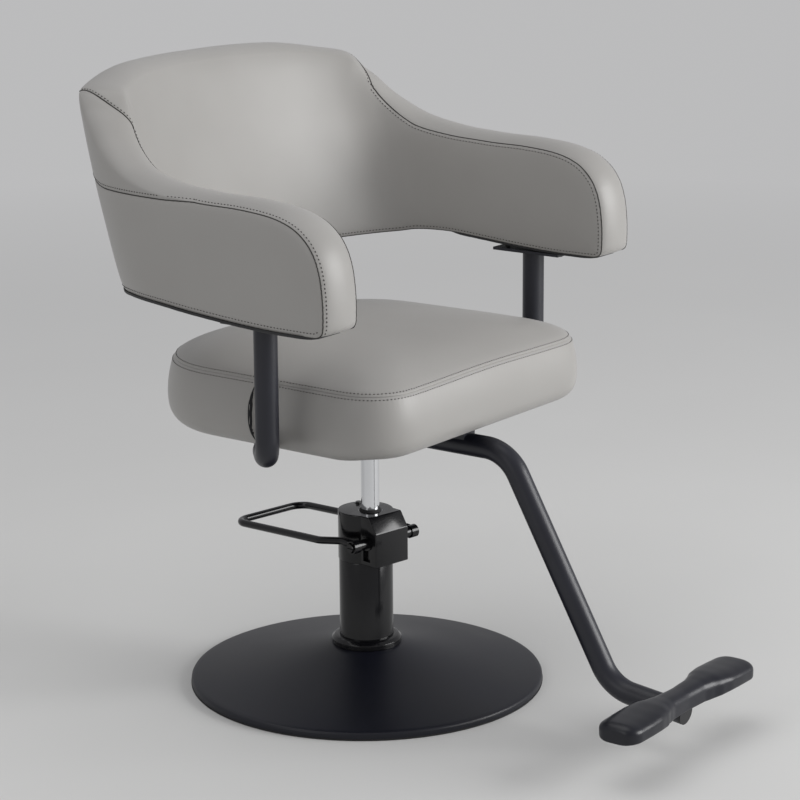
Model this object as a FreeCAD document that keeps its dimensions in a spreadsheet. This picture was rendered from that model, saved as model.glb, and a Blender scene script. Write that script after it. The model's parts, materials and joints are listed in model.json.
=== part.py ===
import FreeCAD, Part
import Sketcher
import math
import os

Vector = FreeCAD.Vector
os.makedirs("parts", exist_ok=True)
doc = FreeCAD.newDocument("StylingChair")

# Driving sizes in millimetres and degrees.
# +Z is up, the sitter faces -Y and the origin is the middle of the base on the floor.
SIZES = {
    "base_r": 250, "base_rim_z": 7, "base_edge_z": 2, "base_hub_z": 54.2, "base_skin": 3,
    "hub_r": 50, "ring_z": 1.95, "plate_r": 200, "plate_z": 4, "plate_t": 8,
    "flange_r": 80, "flange_t": 8, "foot_bolt_pitch": 62, "column_r": 38, "column_bore": 34.5,
    "column_top": 179.8, "collar_r": 49.5, "collar_t": 11.6, "head_r": 39, "head_z": 180,
    "head_top": 250, "block_half": 31, "block_front": 54, "block_top": 229, "bevel_y": 40,
    "piston_y": 10, "liner_r": 16.5, "liner_bore": 14.2, "rod_r": 12.9, "bush_r": 17,
    "shaft_y": 36, "shaft_z": 213, "shaft_r": 7.5, "shaft_half": 57, "hub_half": 61,
    "pedal_half": 64, "pedal_reach": 246, "pedal_rod_r": 5.3, "pedal_droop": 3,
    "plunger_x": 21, "plunger_y": 16, "plunger_r": 3.8, "pump_turn": -10,
    "rod_foot": 60, "rod_top": 392, "seat_z": 400.2, "seam_z": 484, "seat_crown": 30,
    "seat_half": 250, "seat_back_half": 244, "seat_front": 226, "seat_back": 229,
    "seat_corner": 104, "board_t": 13, "board_inset": 34, "cover_t": 1.5,
    "socket_r": 22, "socket_foot": 352, "mount_half": 90, "mount_t": 5.8,
    "post_x": 307, "post_y": 77, "post_r": 15.5, "post_bend": 30,
    "post_floor": 385, "tongue_t": 9, "tongue_w": 36, "tongue_reach": 184, "tongue_turn": 44,
    "arm_plate_t": 4, "arm_plate_l": 112, "arm_plate_w": 44,
    "arm_in": 283, "arm_out": 356, "arm_front": 214, "arm_z": 585, "arm_top": 741,
    "back_foot": 595, "back_top": 874, "back_lean": 16, "core_t": 17,
    "rest_r": 15.5, "rest_wall": 2, "rest_top_z": 371, "rest_bend": 60,
    "rest_end_y": 520, "rest_end_z": 60,
    "bar_half": 160, "bar_y": 512, "bar_z": 78,
}
sheet = doc.addObject("Spreadsheet::Sheet", "Sizes")
for row, (alias, value) in enumerate(SIZES.items(), start=1):
    sheet.set("A%d" % row, alias)
    sheet.set("B%d" % row, str(value))
    sheet.setAlias("B%d" % row, alias)
doc.recompute()


def size(alias):
    return float(sheet.get(alias))


def worked_out(text):
    """Value of an expression written with the names of the sheet."""
    probe = doc.getObject("Probe") or doc.addObject("App::FeaturePython", "Probe")
    if "value" not in probe.PropertiesList:
        probe.addProperty("App::PropertyFloat", "value")
    probe.setExpression("value", text)
    probe.recompute()
    return probe.value


def sized(text):
    """Turn the bare sheet names in a formula into sheet references."""
    names = sorted(SIZES, key=len, reverse=True)
    out = ""
    word = ""
    for char in str(text) + " ":
        if char.isalnum() or char == "_":
            word += char
            continue
        out += "Sizes." + word if word in names else word
        out += char
        word = ""
    return out.strip()


def bind(obj, **formulas):
    for prop, text in formulas.items():
        obj.setExpression(prop.replace("__", "."), sized(text))
    return obj


def at(obj, x=0, y=0, z=0):
    return bind(obj, Placement__Base__x=x, Placement__Base__y=y, Placement__Base__z=z)


def rod(name, radius, height, x=0, y=0, z=0, axis="Z"):
    obj = doc.addObject("Part::Cylinder", name)
    turns = {"X": (Vector(0, 1, 0), 90), "Y": (Vector(1, 0, 0), -90), "Z": (Vector(0, 0, 1), 0)}
    obj.Placement = FreeCAD.Placement(Vector(), FreeCAD.Rotation(*turns[axis]))
    bind(obj, Radius=radius, Height=height)
    return at(obj, x, y, z)


def block(name, length, width, height, x, y, z):
    obj = doc.addObject("Part::Box", name)
    bind(obj, Length=length, Width=width, Height=height)
    return at(obj, x, y, z)


def nut(name, across, height, x, y, z):
    obj = doc.addObject("Part::Prism", name)
    obj.Polygon = 6
    bind(obj, Circumradius="%s / sqrt(3)" % across, Height=height)
    return at(obj, x, y, z)


def cut(name, base, tool):
    obj = doc.addObject("Part::Cut", name)
    obj.Base = base
    obj.Tool = tool
    return obj


def join(name, *shapes):
    obj = doc.addObject("Part::MultiFuse", name)
    obj.Shapes = list(shapes)
    return obj


def common(name, first, second):
    obj = doc.addObject("Part::MultiCommon", name)
    obj.Shapes = [first, second]
    return obj


PLANES = {
    "XY": FreeCAD.Rotation(),
    "XZ": FreeCAD.Rotation(Vector(1, 0, 0), 90),
    "YZ": FreeCAD.Rotation(Vector(0, 1, 0), Vector(0, 0, 1), Vector(1, 0, 0), "XYZ"),
}


def tie(sketch, edge, end, x, y):
    """Hold one end of a sketch edge at a formula for each coordinate."""
    for kind, axis, text in (("DistanceX", -2, x), ("DistanceY", -1, y)):
        value = worked_out(sized(text))
        if abs(value) < 1e-6:
            sketch.addConstraint(Sketcher.Constraint("PointOnObject", edge, end, axis))
            continue
        index = sketch.addConstraint(Sketcher.Constraint(kind, -1, 1, edge, end, value))
        sketch.setExpression("Constraints[%d]" % index, sized(text))


def outline(name, plane, points, closed=True):
    """Straight sided sketch through points given as pairs of formulas."""
    sketch = doc.addObject("Sketcher::SketchObject", name)
    sketch.Placement = FreeCAD.Placement(Vector(), PLANES[plane])
    flat = [Vector(worked_out(sized(x)), worked_out(sized(y)), 0) for x, y in points]
    count = len(flat) if closed else len(flat) - 1
    for i in range(count):
        sketch.addGeometry(Part.LineSegment(flat[i], flat[(i + 1) % len(flat)]))
    for i in range(count - (0 if closed else 1)):
        sketch.addConstraint(Sketcher.Constraint("Coincident", i, 2, (i + 1) % count, 1))
    for i, (x, y) in enumerate(points[:count]):
        tie(sketch, i, 1, x, y)
    if not closed:
        tie(sketch, count - 1, 2, *points[-1])
    return sketch


def spun(name, points):
    obj = doc.addObject("Part::Revolution", name)
    obj.Source = outline(name + "Outline", "XZ", points)
    obj.Axis = Vector(0, 0, 1)
    obj.Angle = 360
    obj.Solid = True
    return obj


def drawn_out(name, sketch, length, back="0"):
    obj = doc.addObject("Part::Extrusion", name)
    obj.Base = sketch
    obj.DirMode = "Normal"
    obj.Solid = True
    return bind(obj, LengthFwd=length, LengthRev=back)


def path(name, points, radii):
    """Wire of straight runs and tangent bends, kept as its own object."""
    wire = doc.addObject("Part::Feature", name)
    edges = []
    start = points[0]
    for i in range(1, len(points) - 1):
        before = (points[i - 1] - points[i]).normalize()
        after = (points[i + 1] - points[i]).normalize()
        half = math.acos(before.dot(after)) / 2
        reach = radii[i - 1] / math.tan(half)
        first = points[i] + before * reach
        last = points[i] + after * reach
        centre = points[i] + (before + after).normalize() * (radii[i - 1] / math.sin(half))
        middle = centre + (points[i] - centre).normalize() * radii[i - 1]
        edges.append(Part.makeLine(start, first))
        edges.append(Part.Arc(first, middle, last).toShape())
        start = last
    edges.append(Part.makeLine(start, points[-1]))
    wire.Shape = Part.Wire(edges)
    return wire


def swept(name, spine, radius, direction):
    """Round bar of one radius along a path object."""
    ring = doc.addObject("Part::Circle", name + "Ring")
    start = spine.Shape.Edges[0].Vertexes[0].Point
    ring.Placement = FreeCAD.Placement(start, FreeCAD.Rotation(Vector(0, 0, 1), direction))
    bind(ring, Radius=radius)
    obj = doc.addObject("Part::Sweep", name)
    obj.Sections = [ring]
    obj.Spine = (spine, ["Edge%d" % (i + 1) for i in range(len(spine.Shape.Edges))])
    obj.Solid = True
    obj.Frenet = False
    obj.Transition = "Round corner"
    return obj


pieces = []


def piece(label, *solids, turned=False):
    obj = doc.addObject("Part::Compound", label)
    obj.Label = label
    obj.Links = list(solids)
    if turned:
        turn = FreeCAD.Rotation(Vector(0, 0, 1), size("pump_turn"))
        obj.Placement = FreeCAD.Placement(Vector(), turn)
        bind(obj, Placement__Rotation__Angle="pump_turn")
    pieces.append(obj)
    return obj


# Base: spun steel cover over a ballast plate, with a rubber edge ring on the floor.
disc = spun("Disc", [
    ("column_r + 0.2", "base_hub_z"), ("hub_r", "base_hub_z"), ("base_r - 4", "base_rim_z + 4"),
    ("base_r", "base_rim_z"), ("base_r", "base_edge_z"), ("base_r - base_skin", "base_edge_z"),
    ("base_r - base_skin", "base_rim_z - 1.2"), ("base_r - 5", "base_rim_z + 1"),
    ("hub_r", "base_hub_z - base_skin"), ("column_r + 0.2", "base_hub_z - base_skin"),
])
piece("base_disc", disc)
piece("base_edge_ring", spun("EdgeRing", [
    ("base_r - 8", "0"), ("base_r + 0.5", "0"), ("base_r + 0.5", "ring_z"),
    ("base_r - base_skin - 0.1", "ring_z"), ("base_r - base_skin - 0.1", "base_rim_z - 2"),
    ("base_r - 8", "base_rim_z - 2"),
]))

foot_holes = []
foot_bolts = []
for i in range(4):
    angle = math.radians(45 + 90 * i)
    x = "foot_bolt_pitch * %.6f" % math.cos(angle)
    y = "foot_bolt_pitch * %.6f" % math.sin(angle)
    foot_holes.append(rod("FootHole%d" % i, 5.2, 40, x, y, 0))
    shank = rod("FootShank%d" % i, 5, "plate_t + flange_t + 1", x, y, "plate_z - 1")
    head = nut("FootHead%d" % i, 17, 6.4, x, y, "plate_z + plate_t + flange_t")
    foot_bolts.append(join("FootBolt%d" % i, shank, head))
plate = cut("PlateBored", rod("PlateDisc", "plate_r", "plate_t", z="plate_z"),
            join("PlateTools", rod("PlateBore", "column_r + 0.2", 40), *foot_holes))
piece("base_ballast_plate", plate)
flange = cut("FlangeBored", rod("FlangeDisc", "flange_r", "flange_t", z="plate_z + plate_t"),
             join("FlangeTools", rod("FlangeBore", "column_r + 0.2", 40), *foot_holes))
piece("column_flange", flange)
piece("base_bolts", *foot_bolts)
spacers = []
for i in range(6):
    angle = math.radians(60 * i + 30)
    spacers.append(rod("Spacer%d" % i, 9, 19.4, 130 * math.cos(angle), 130 * math.sin(angle),
                       "plate_z + plate_t"))
piece("base_spacers", *spacers)
piece("column_collar", spun("Collar", [
    ("column_r + 0.2", "base_hub_z + 0.1"), ("collar_r", "base_hub_z + 0.1"),
    ("collar_r", "base_hub_z + collar_t - 4"), ("collar_r - 4", "base_hub_z + collar_t"),
    ("column_r + 0.2", "base_hub_z + collar_t"),
]))

# Pump column, turned a little from straight ahead.
tube = cut("TubeBored", rod("TubeOuter", "column_r", "column_top - plate_z", z="plate_z"),
           rod("TubeBore", "column_bore", 400))
piece("column_tube", tube, turned=True)
liner_y = "0 - piston_y"
foot_valve = cut("FootValveBored", rod("FootValveDisc", "column_bore - 0.2", 20, z="plate_z"),
                 rod("FootValvePort", 4, 40, 0, liner_y, 12))
piece("foot_valve_block", foot_valve, turned=True)
liner = cut("LinerBored", rod("LinerOuter", "liner_r", 208, 0, liner_y, "plate_z + 20.2"),
            rod("LinerBore", "liner_bore", 400, 0, liner_y, 0))
piece("cylinder_liner", liner, turned=True)

block_side = outline("BlockSide", "YZ", [
    ("0", "head_z"), ("0 - block_front", "head_z"), ("0 - block_front", "block_top"),
    ("0 - bevel_y", "head_top"), ("0", "head_top"),
])
block_body = drawn_out("HeadBlock", block_side, "block_half", "block_half")
spigot = rod("HeadSpigot", "column_bore - 0.2", 8.2, z="head_z - 8")
head_body = join("HeadBody", rod("HeadDrum", "head_r", "head_top - head_z", z="head_z"),
                 block_body, spigot)
shaft_line = ("0 - shaft_y", "shaft_z")
head_tools = join(
    "HeadTools",
    rod("HeadLinerBore", "liner_r + 0.05", 60.4, 0, liner_y, "head_z - 8"),
    rod("HeadBushBore", "bush_r + 0.05", 40, 0, liner_y, "head_z + 52.4"),
    rod("ShaftBore", "shaft_r + 0.6", 140, -70, *shaft_line, axis="X"),
    rod("BushBoreRight", 10.05, 20, "block_half - 6", *shaft_line, axis="X"),
    rod("BushBoreLeft", 10.05, 20, "0 - block_half - 14", *shaft_line, axis="X"),
    block("LeverRoom", 7.4, 46, 29, 17.3, "0 - shaft_y - 12", "head_z + 16"),
    rod("PlungerBore", "plunger_r + 0.05", 60, "plunger_x", "0 - plunger_y", "head_z - 9"),
    rod("ValveBore", 4.05, 50, -25, -6, "head_z + 10"),
    rod("FillerBore", 3.05, 12, 11, 26, "head_top - 8"),
    block("SideWindow", 16, 12, 16, "0 - block_half - 10", "0 - block_front + 11", "head_z + 4"),
)
piece("pump_head", cut("HeadBored", head_body, head_tools), turned=True)
piece("gland_bush", cut("GlandBored", rod("GlandDisc", "bush_r", 17.2, 0, liner_y, "head_z + 52.6"),
                        rod("GlandBore", "rod_r + 0.05", 60, 0, liner_y, "head_z + 40")), turned=True)
wiper_body = doc.addObject("Part::Cone", "WiperCone")
bind(wiper_body, Radius1="bush_r - 1", Radius2="rod_r + 1", Height=3)
at(wiper_body, 0, liner_y, "head_top")
piece("rod_wiper", cut("WiperBored", wiper_body,
                       rod("WiperBore", "rod_r + 0.05", 20, 0, liner_y, "head_top - 5")), turned=True)
filler = join("Filler", nut("FillerHex", 8, 3, 11, 26, "head_top"),
              rod("FillerThread", 3, 8, 11, 26, "head_top - 7"))
piece("oil_filler_screw", filler, turned=True)
piece("release_valve", rod("ReleasePin", 4, 26, -25, -6, "head_z + 12"), turned=True)
pipe = cut("PipeBored", rod("PipeOuter", 3, "head_z - 40", "plunger_x", "0 - plunger_y", 30),
           rod("PipeBore", 2, 200, "plunger_x", "0 - plunger_y", 0))
piece("suction_pipe", pipe, turned=True)
bushes = []
for side, start in (("Left", "0 - block_half - 2"), ("Right", "block_half - 6")):
    bushes.append(cut("PedalBush" + side, rod("PedalBushOuter" + side, 10, 8, start, *shaft_line, axis="X"),
                      rod("PedalBushBore" + side, "shaft_r + 0.05", 200, -100, *shaft_line, axis="X")))
piece("pedal_bushes", *bushes, turned=True)

# Foot pedal: cross shaft, wire loop round the back of the column and an inner lever.
piece("pedal_shaft", rod("Shaft", "shaft_r", "2 * shaft_half", "0 - shaft_half", *shaft_line, axis="X"),
      turned=True)
hubs = []
for side, start in (("Left", "0 - hub_half"), ("Right", "hub_half - 12")):
    hubs.append(cut("PedalHub" + side, rod("PedalHubOuter" + side, 9.2, 12, start, *shaft_line, axis="X"),
                    rod("PedalHubBore" + side, "shaft_r + 0.02", 20,
                        start if side == "Right" else "0 - hub_half - 8 + 4", *shaft_line, axis="X")))
loop_half = size("pedal_half")
hub_x = size("hub_half") - 6
shaft = Vector(0, -size("shaft_y"), size("shaft_z"))
droop = math.radians(size("pedal_droop"))


def on_pedal(x, along, rise=0):
    return shaft + Vector(x, along * math.cos(droop), rise - along * math.sin(droop))


loop_path = path("PedalPath", [
    on_pedal(-hub_x, 8.2, 4), on_pedal(-hub_x, 26, 5), on_pedal(-loop_half, 62, 2),
    on_pedal(-loop_half, size("pedal_reach")), on_pedal(loop_half, size("pedal_reach")),
    on_pedal(loop_half, 62, 2), on_pedal(hub_x, 26, 5), on_pedal(hub_x, 8.2, 4),
], [20, 30, 22, 22, 30, 20])
loop_start = loop_path.Shape.Edges[0].tangentAt(loop_path.Shape.Edges[0].FirstParameter)
loop = swept("PedalRod", loop_path, "pedal_rod_r", loop_start)
piece("pedal_loop", loop, turned=True)
hub_tools = [rod("PedalHubSeat%d" % i, "pedal_rod_r + 0.45", 60, x, "0 - shaft_y + 7.8",
                 "shaft_z + 3.7", axis="Y") for i, x in enumerate(("0 - hub_half + 6", "hub_half - 6"))]
piece("pedal_hubs", *[cut("PedalHubSeated%d" % i, hub, tool)
                      for i, (hub, tool) in enumerate(zip(hubs, hub_tools))], turned=True)
caps = []
for side, start in (("Left", "0 - hub_half - 3"), ("Right", "hub_half")):
    screw = rod("PedalCapDisc" + side, 6, 3, start, *shaft_line, axis="X")
    slot = block("PedalCapSlot" + side, 1.6, 20, 1.8,
                 "0 - hub_half - 3.2" if side == "Left" else "hub_half + 1.6",
                 "0 - shaft_y - 10", "shaft_z - 0.9")
    caps.append(cut("PedalCap" + side, screw, slot))
piece("pedal_cap_screws", *caps, turned=True)
lever = cut("LeverBored", join(
    "LeverBody", rod("LeverHub", 10.4, 6.4, 17.8, *shaft_line, axis="X"),
    block("LeverArm", 6.4, 27, 6, 17.8, "0 - shaft_y", "head_z + 26.2")),
    rod("LeverBore", "shaft_r + 0.02", 20, 10, *shaft_line, axis="X"))
piece("pedal_lever", lever, turned=True)
piece("pump_plunger", rod("Plunger", "plunger_r", 16, "plunger_x", "0 - plunger_y", "head_z + 10.1"),
      turned=True)

# Lifting ram.
rod_body = rod("RamRod", "rod_r", "rod_top - rod_foot", 0, liner_y, "rod_foot")
piece("piston_rod", rod_body, turned=True)
piece("piston_head", rod("RamHead", "liner_bore - 0.05", 13.9, 0, liner_y, "rod_foot - 14"), turned=True)
seal_ring = rod("SealOuter", "liner_bore - 0.04", 6, 0, liner_y, "rod_foot + 0.2")
seal_bore = rod("SealBore", "rod_r + 0.02", 30, 0, liner_y, "rod_foot - 10")
piece("piston_seal", cut("SealBored", seal_ring, seal_bore), turned=True)

# Seat: socket on the ram, mounting plate, board, cushion and dust cover.
turn = math.radians(size("pump_turn"))
ram_x = "piston_y * %.6f" % math.sin(turn)
ram_y = "0 - piston_y * %.6f" % math.cos(turn)
socket_body = rod("SocketOuter", "socket_r", "seat_z - 6 - socket_foot", ram_x, ram_y, "socket_foot")
socket_bore = rod("SocketBore", "rod_r + 0.05", "rod_top + 6 - socket_foot",
                  ram_x, ram_y, "socket_foot - 5")
piece("seat_socket", cut("SocketBored", socket_body, socket_bore))
mount_spots = [(sx, sy) for sx in (-1, 1) for sy in (-1, 1)]
mount_tools = []
mount_bolts = []
for i, (sx, sy) in enumerate(mount_spots):
    x = "%d * (mount_half - 18)" % sx
    y = "%d * (mount_half - 18) - piston_y" % sy
    mount_tools.append(rod("MountHole%d" % i, 4.2, 60, x, y, "seat_z - 30"))
    mount_bolts.append(join("MountBolt%d" % i, rod("MountShank%d" % i, 4, 18, x, y, "seat_z - 7"),
                            nut("MountHex%d" % i, 13, 5.3, x, y, "seat_z - mount_t - 5.5")))
mount = cut("MountDrilled", block("MountPlate", "2 * mount_half", "2 * mount_half", "mount_t - 0.1",
                                  "0 - mount_half", "0 - mount_half - piston_y", "seat_z - mount_t"),
            join("MountTools", *mount_tools))
piece("seat_mount_plate", mount)
piece("mount_bolts", *mount_bolts)


def seat_plan(name, z, inset="0"):
    """Rounded seat outline at a height, a little narrower at the back."""
    sketch = outline(name, "XY", [
        ("0 - seat_half + (%s)" % inset, "0 - seat_front + (%s)" % inset),
        ("seat_half - (%s)" % inset, "0 - seat_front + (%s)" % inset),
        ("seat_back_half - (%s)" % inset, "seat_back - (%s)" % inset),
        ("0 - seat_back_half + (%s)" % inset, "seat_back - (%s)" % inset),
    ])
    bind(sketch, Placement__Base__z=z)
    return sketch


def upright_edges(solid, low):
    doc.recompute()
    chosen = []
    for i, edge in enumerate(solid.Shape.Edges, start=1):
        first, last = [v.Point for v in edge.Vertexes][:2] if len(edge.Vertexes) > 1 else (None, None)
        if first and abs(first.z - last.z) > low:
            chosen.append(i)
    return chosen


def softened(name, solid, radius, edges):
    obj = doc.addObject("Part::Fillet", name)
    obj.Base = solid
    obj.Edges = [(i, radius, radius) for i in edges]
    return obj


def top_edges(solid, z):
    doc.recompute()
    return [i for i, e in enumerate(solid.Shape.Edges, start=1)
            if all(abs(v.Point.z - z) < 0.01 for v in e.Vertexes)]


pad_plan = seat_plan("PadPlan", "seat_z + 0.3")
pad_block = drawn_out("PadBlock", pad_plan, "seam_z + seat_crown - seat_z - 0.3")
pad_round = softened("PadRound", pad_block, size("seat_corner"), upright_edges(pad_block, 50))
crown_top = size("seam_z") + size("seat_crown")
pad_soft = softened("PadSoft", pad_round, size("seat_crown") - 1, top_edges(pad_round, crown_top))
board_block = drawn_out("BoardBlock", seat_plan("BoardPlan", "seat_z + 2", "board_inset"), "board_t")
board = softened("BoardRound", board_block, size("seat_corner") - size("board_inset"),
                 upright_edges(board_block, 5))
board_room_block = drawn_out("BoardRoomBlock", seat_plan("RoomPlan", "seat_z - 5", "board_inset - 0.4"),
                             "board_t + 7.4")
board_room = softened("BoardRoom", board_room_block, size("seat_corner") - size("board_inset"),
                      upright_edges(board_room_block, 5))
scoops = [rod("Scoop%d" % i, 34, 86, x, "0 - post_y", "seat_z - 2")
          for i, x in enumerate(("0 - post_x + 27", "post_x - 27"))]
tube_rooms = []
for side, sign in (("left", -1), ("right", 1)):
    room = doc.addObject("Part::Box", "TubeRoom_" + side)
    bind(room, Length="tongue_reach / 2 + 8", Width="2 * post_r + 6", Height="post_r + 4")
    tongue_angle = math.radians(size("tongue_turn"))
    heading = Vector(-sign * math.cos(tongue_angle), math.sin(tongue_angle), 0)
    across = Vector(-heading.y, heading.x, 0)
    post_foot = Vector(sign * size("post_x"), -size("post_y"), size("seat_z") - 2)
    corner = post_foot - across * (size("post_r") + 3)
    room_turn = math.degrees(math.atan2(heading.y, heading.x))
    room.Placement = FreeCAD.Placement(corner, FreeCAD.Rotation(Vector(0, 0, 1), room_turn))
    tube_rooms.append(room)
cushion = cut("CushionHollow", pad_soft, join("CushionTools", board_room, *scoops, *tube_rooms))
piece("seat_cushion", cushion)


# Arm posts: round tube, bent under the seat and pressed into a flat tongue.
tongue = math.radians(size("tongue_turn"))
post_foot_z = size("post_floor") + size("post_r")
tongue_mid = size("seat_z") - 0.3 - size("tongue_t") / 2
board_tools = list(mount_tools)
tongue_bolts = []
for side, sign in (("left", -1), ("right", 1)):
    inward = Vector(-sign * math.cos(tongue), math.sin(tongue), 0)
    foot = Vector(sign * size("post_x"), -size("post_y"), post_foot_z)
    top = Vector(foot.x, foot.y, size("arm_z") - 7)
    end = foot + inward * 46
    spine = path("PostPath_" + side, [top, foot, end], [size("post_bend")])
    outer = swept("PostOuter_" + side, spine, "post_r", Vector(0, 0, -1))
    bore = swept("PostBore_" + side, spine, "post_r - 2", Vector(0, 0, -1))
    across = Vector(-inward.y, inward.x, 0)
    flat_start = foot + inward * 86
    flat_start.z = tongue_mid
    rings = []
    for label, spot, half_w, half_t in (
            ("A", end, size("post_r"), size("post_r")),
            ("B", (end + flat_start) * 0.5, size("post_r") + 1.5,
             (size("post_r") + size("tongue_t") / 2) / 2),
            ("C", flat_start, size("tongue_w") / 2, size("tongue_t") / 2)):
        oval = doc.addObject("Part::Feature", "PostOval%s_%s" % (label, side))
        points = []
        for k in range(24):
            angle = 2 * math.pi * k / 24
            wide = math.copysign(abs(math.cos(angle)) ** (1 if label == "A" else 0.7), math.cos(angle))
            tall = math.copysign(abs(math.sin(angle)) ** (1 if label == "A" else 0.7), math.sin(angle))
            points.append(spot + across * (wide * half_w) + Vector(0, 0, tall * half_t))
        curve = Part.BSplineCurve()
        curve.interpolate(points, PeriodicFlag=True)
        oval.Shape = Part.Wire(curve.toShape())
        rings.append(oval)
    squash = doc.addObject("Part::Loft", "PostSquash_" + side)
    squash.Sections = rings
    squash.Solid = True
    strap = block("PostStrap_" + side, "tongue_reach - 84", "tongue_w", "tongue_t", 0, 0, 0)
    corner = flat_start - across * (size("tongue_w") / 2) - inward * 2
    corner.z = tongue_mid - size("tongue_t") / 2
    heading = math.degrees(math.atan2(inward.y, inward.x))
    for prop in ("Placement.Base.x", "Placement.Base.y", "Placement.Base.z"):
        strap.setExpression(prop, None)
    strap.Placement = FreeCAD.Placement(corner, FreeCAD.Rotation(Vector(0, 0, 1), heading))
    spots = [foot + inward * reach for reach in (142, 168)]
    holes = []
    for i, spot in enumerate(spots):
        holes.append(rod("TongueHole%d_%s" % (i, side), 4.2, 60, spot.x, spot.y, "seat_z - 30"))
        tongue_bolts.append(join("TongueBolt%d_%s" % (i, side),
                                 rod("TongueShank%d_%s" % (i, side), 4, 21, spot.x, spot.y, "seat_z - 10"),
                                 rod("TongueHead%d_%s" % (i, side), 7.5, 4, spot.x, spot.y,
                                     "seat_z - tongue_t - 4.4")))
    board_tools += holes
    shell = cut("PostShell_" + side, outer, bore)
    whole = join("PostWhole_" + side, shell, squash, strap)
    drills = join("TongueTools_" + side, *holes)
    piece("arm_tube_" + side, cut("PostDrilled_" + side, whole, drills))
piece("arm_tube_bolts", *tongue_bolts)

# Wraparound back and arms: one upholstered shell, trimmed to its side outline.
INNER = [
    (283, -260), (283, -140), (283, -60), (283, 0), (279, 60), (262, 112), (222, 148), (130, 175), (0, 184),
]
OUTER = [
    (356, -260), (356, -140), (356, -60), (355, 20), (347, 88), (324, 143), (278, 187), (165, 231), (0, 247),
]
lean = math.tan(math.radians(size("back_lean")))


def wrap_ring(name, half_plan, z):
    """Closed plan of one face of the wrap, leaning back behind the arms."""
    points = []
    for x, y in half_plan:
        weight = min(1, max(0, (y + 60) / 170))
        points.append(Vector(x, y + lean * (z - size("back_foot")) * weight, z))
    mirrored = [Vector(-p.x, p.y, p.z) for p in reversed(points[:-1])]
    curve = Part.BSplineCurve()
    curve.interpolate(points + mirrored)
    ring = doc.addObject("Part::Feature", name)
    ring.Shape = Part.Wire([curve.toShape(), Part.makeLine(mirrored[-1], points[0])])
    return ring


def wrap_loft(name, half_plan):
    loft = doc.addObject("Part::Loft", name)
    loft.Sections = [wrap_ring(name + "Low", half_plan, 550), wrap_ring(name + "High", half_plan, 900)]
    loft.Solid = True
    loft.Ruled = True
    return loft


wrap_shell = cut("WrapShell", wrap_loft("WrapOuter", OUTER), wrap_loft("WrapInner", INNER))

strip_side = outline("StripSide", "YZ", [
    ("0 - 190", "arm_z - 0.4"), ("0 - 190", "arm_z - 2.8"), ("0", "arm_z - 2.8"),
    ("150", "back_foot - 2.8"), ("150", "back_foot - 0.4"), ("0", "arm_z - 0.4"),
])
strip_slab = drawn_out("StripSlab", strip_side, 400, 400)
strips = common("StripBoth", wrap_shell, strip_slab)
for side, sign in (("left", -1), ("right", 1)):
    mid_x = "%d * post_x" % sign
    spots = [(mid_x, "0 - post_y - 44"), (mid_x, "0 - post_y + 44")]
    holes = [rod("ArmHole%d_%s" % (i, side), 3.2, 60, x, y, "arm_z - 20") for i, (x, y) in enumerate(spots)]
    tools = join("ArmTools_" + side, *holes)
    flat = block("ArmFlat_" + side, "arm_plate_w", "arm_plate_l", "arm_plate_t",
                 mid_x + " - arm_plate_w / 2", "0 - post_y - arm_plate_l / 2", "arm_z - 6.9")
    piece("arm_plate_" + side, cut("ArmPlate_" + side, flat, tools))
    screws = [join("ArmScrew%d_%s" % (i, side), rod("ArmShank%d_%s" % (i, side), 3, 22, x, y, "arm_z - 8"),
                   rod("ArmHead%d_%s" % (i, side), 5.5, 2.8, x, y, "arm_z - 9.8"))
              for i, (x, y) in enumerate(spots)]
    piece("arm_screws_" + side, *screws)
    middle = "%d * (arm_in + arm_out) / 2" % sign
    half = block("StripHalf_" + side, 400, 700, 60, "0" if sign > 0 else "0 - 400", -350, "arm_z - 30")
    strip = common("Strip_" + side, strips, half)
    piece("arm_strip_" + side, cut("StripCut_" + side, strip, tools))
    core = block("Core_" + side, 44, 156, "core_t", middle + " - 22", "0 - post_y - 80", "arm_z + 0.3")
    piece("arm_core_" + side, cut("CoreCut_" + side, core, tools))

profile = outline("WrapSide", "YZ", [
    ("0 - arm_front + 22", "arm_z"), ("0 - arm_front + 8", "arm_z + 14"), ("0 - arm_front", "arm_z + 42"),
    ("0 - arm_front + 4", "arm_z + 76"), ("0 - arm_front + 14", "arm_z + 106"),
    ("0 - arm_front + 33", "arm_z + 128"), ("0 - arm_front + 62", "arm_z + 145"),
    ("0 - arm_front + 95", "arm_top - 4"), ("0 - arm_front + 150", "arm_top"), ("60", "arm_top"),
    ("95", "arm_top + 6"), ("125", "arm_top + 16"), ("159", "arm_top + 41"), ("183", "arm_top + 69"),
    ("201", "back_top - 45"), ("216", "back_top - 33"), ("243", "back_top - 22"),
    ("262", "back_top - 8"), ("285", "back_top"), ("350", "back_top - 2"), ("350", "back_foot - 4"),
    ("150", "back_foot"), ("0", "arm_z"), ("0 - 140", "arm_z"),
])
wrap = common("WrapTrimmed", wrap_shell, drawn_out("WrapSlab", profile, 400, 400))
core_rooms = [
    block("CoreRoom_" + side, 44.6, 156.6, "core_t + 20",
          "%d * (arm_in + arm_out) / 2 - 22.3" % sign, "0 - post_y - 80.3", "arm_z - 19.4")
    for side, sign in (("left", -1), ("right", 1))]
piece("back_upholstery", cut("WrapHollow", wrap, join("WrapTools", *core_rooms)))

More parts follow.
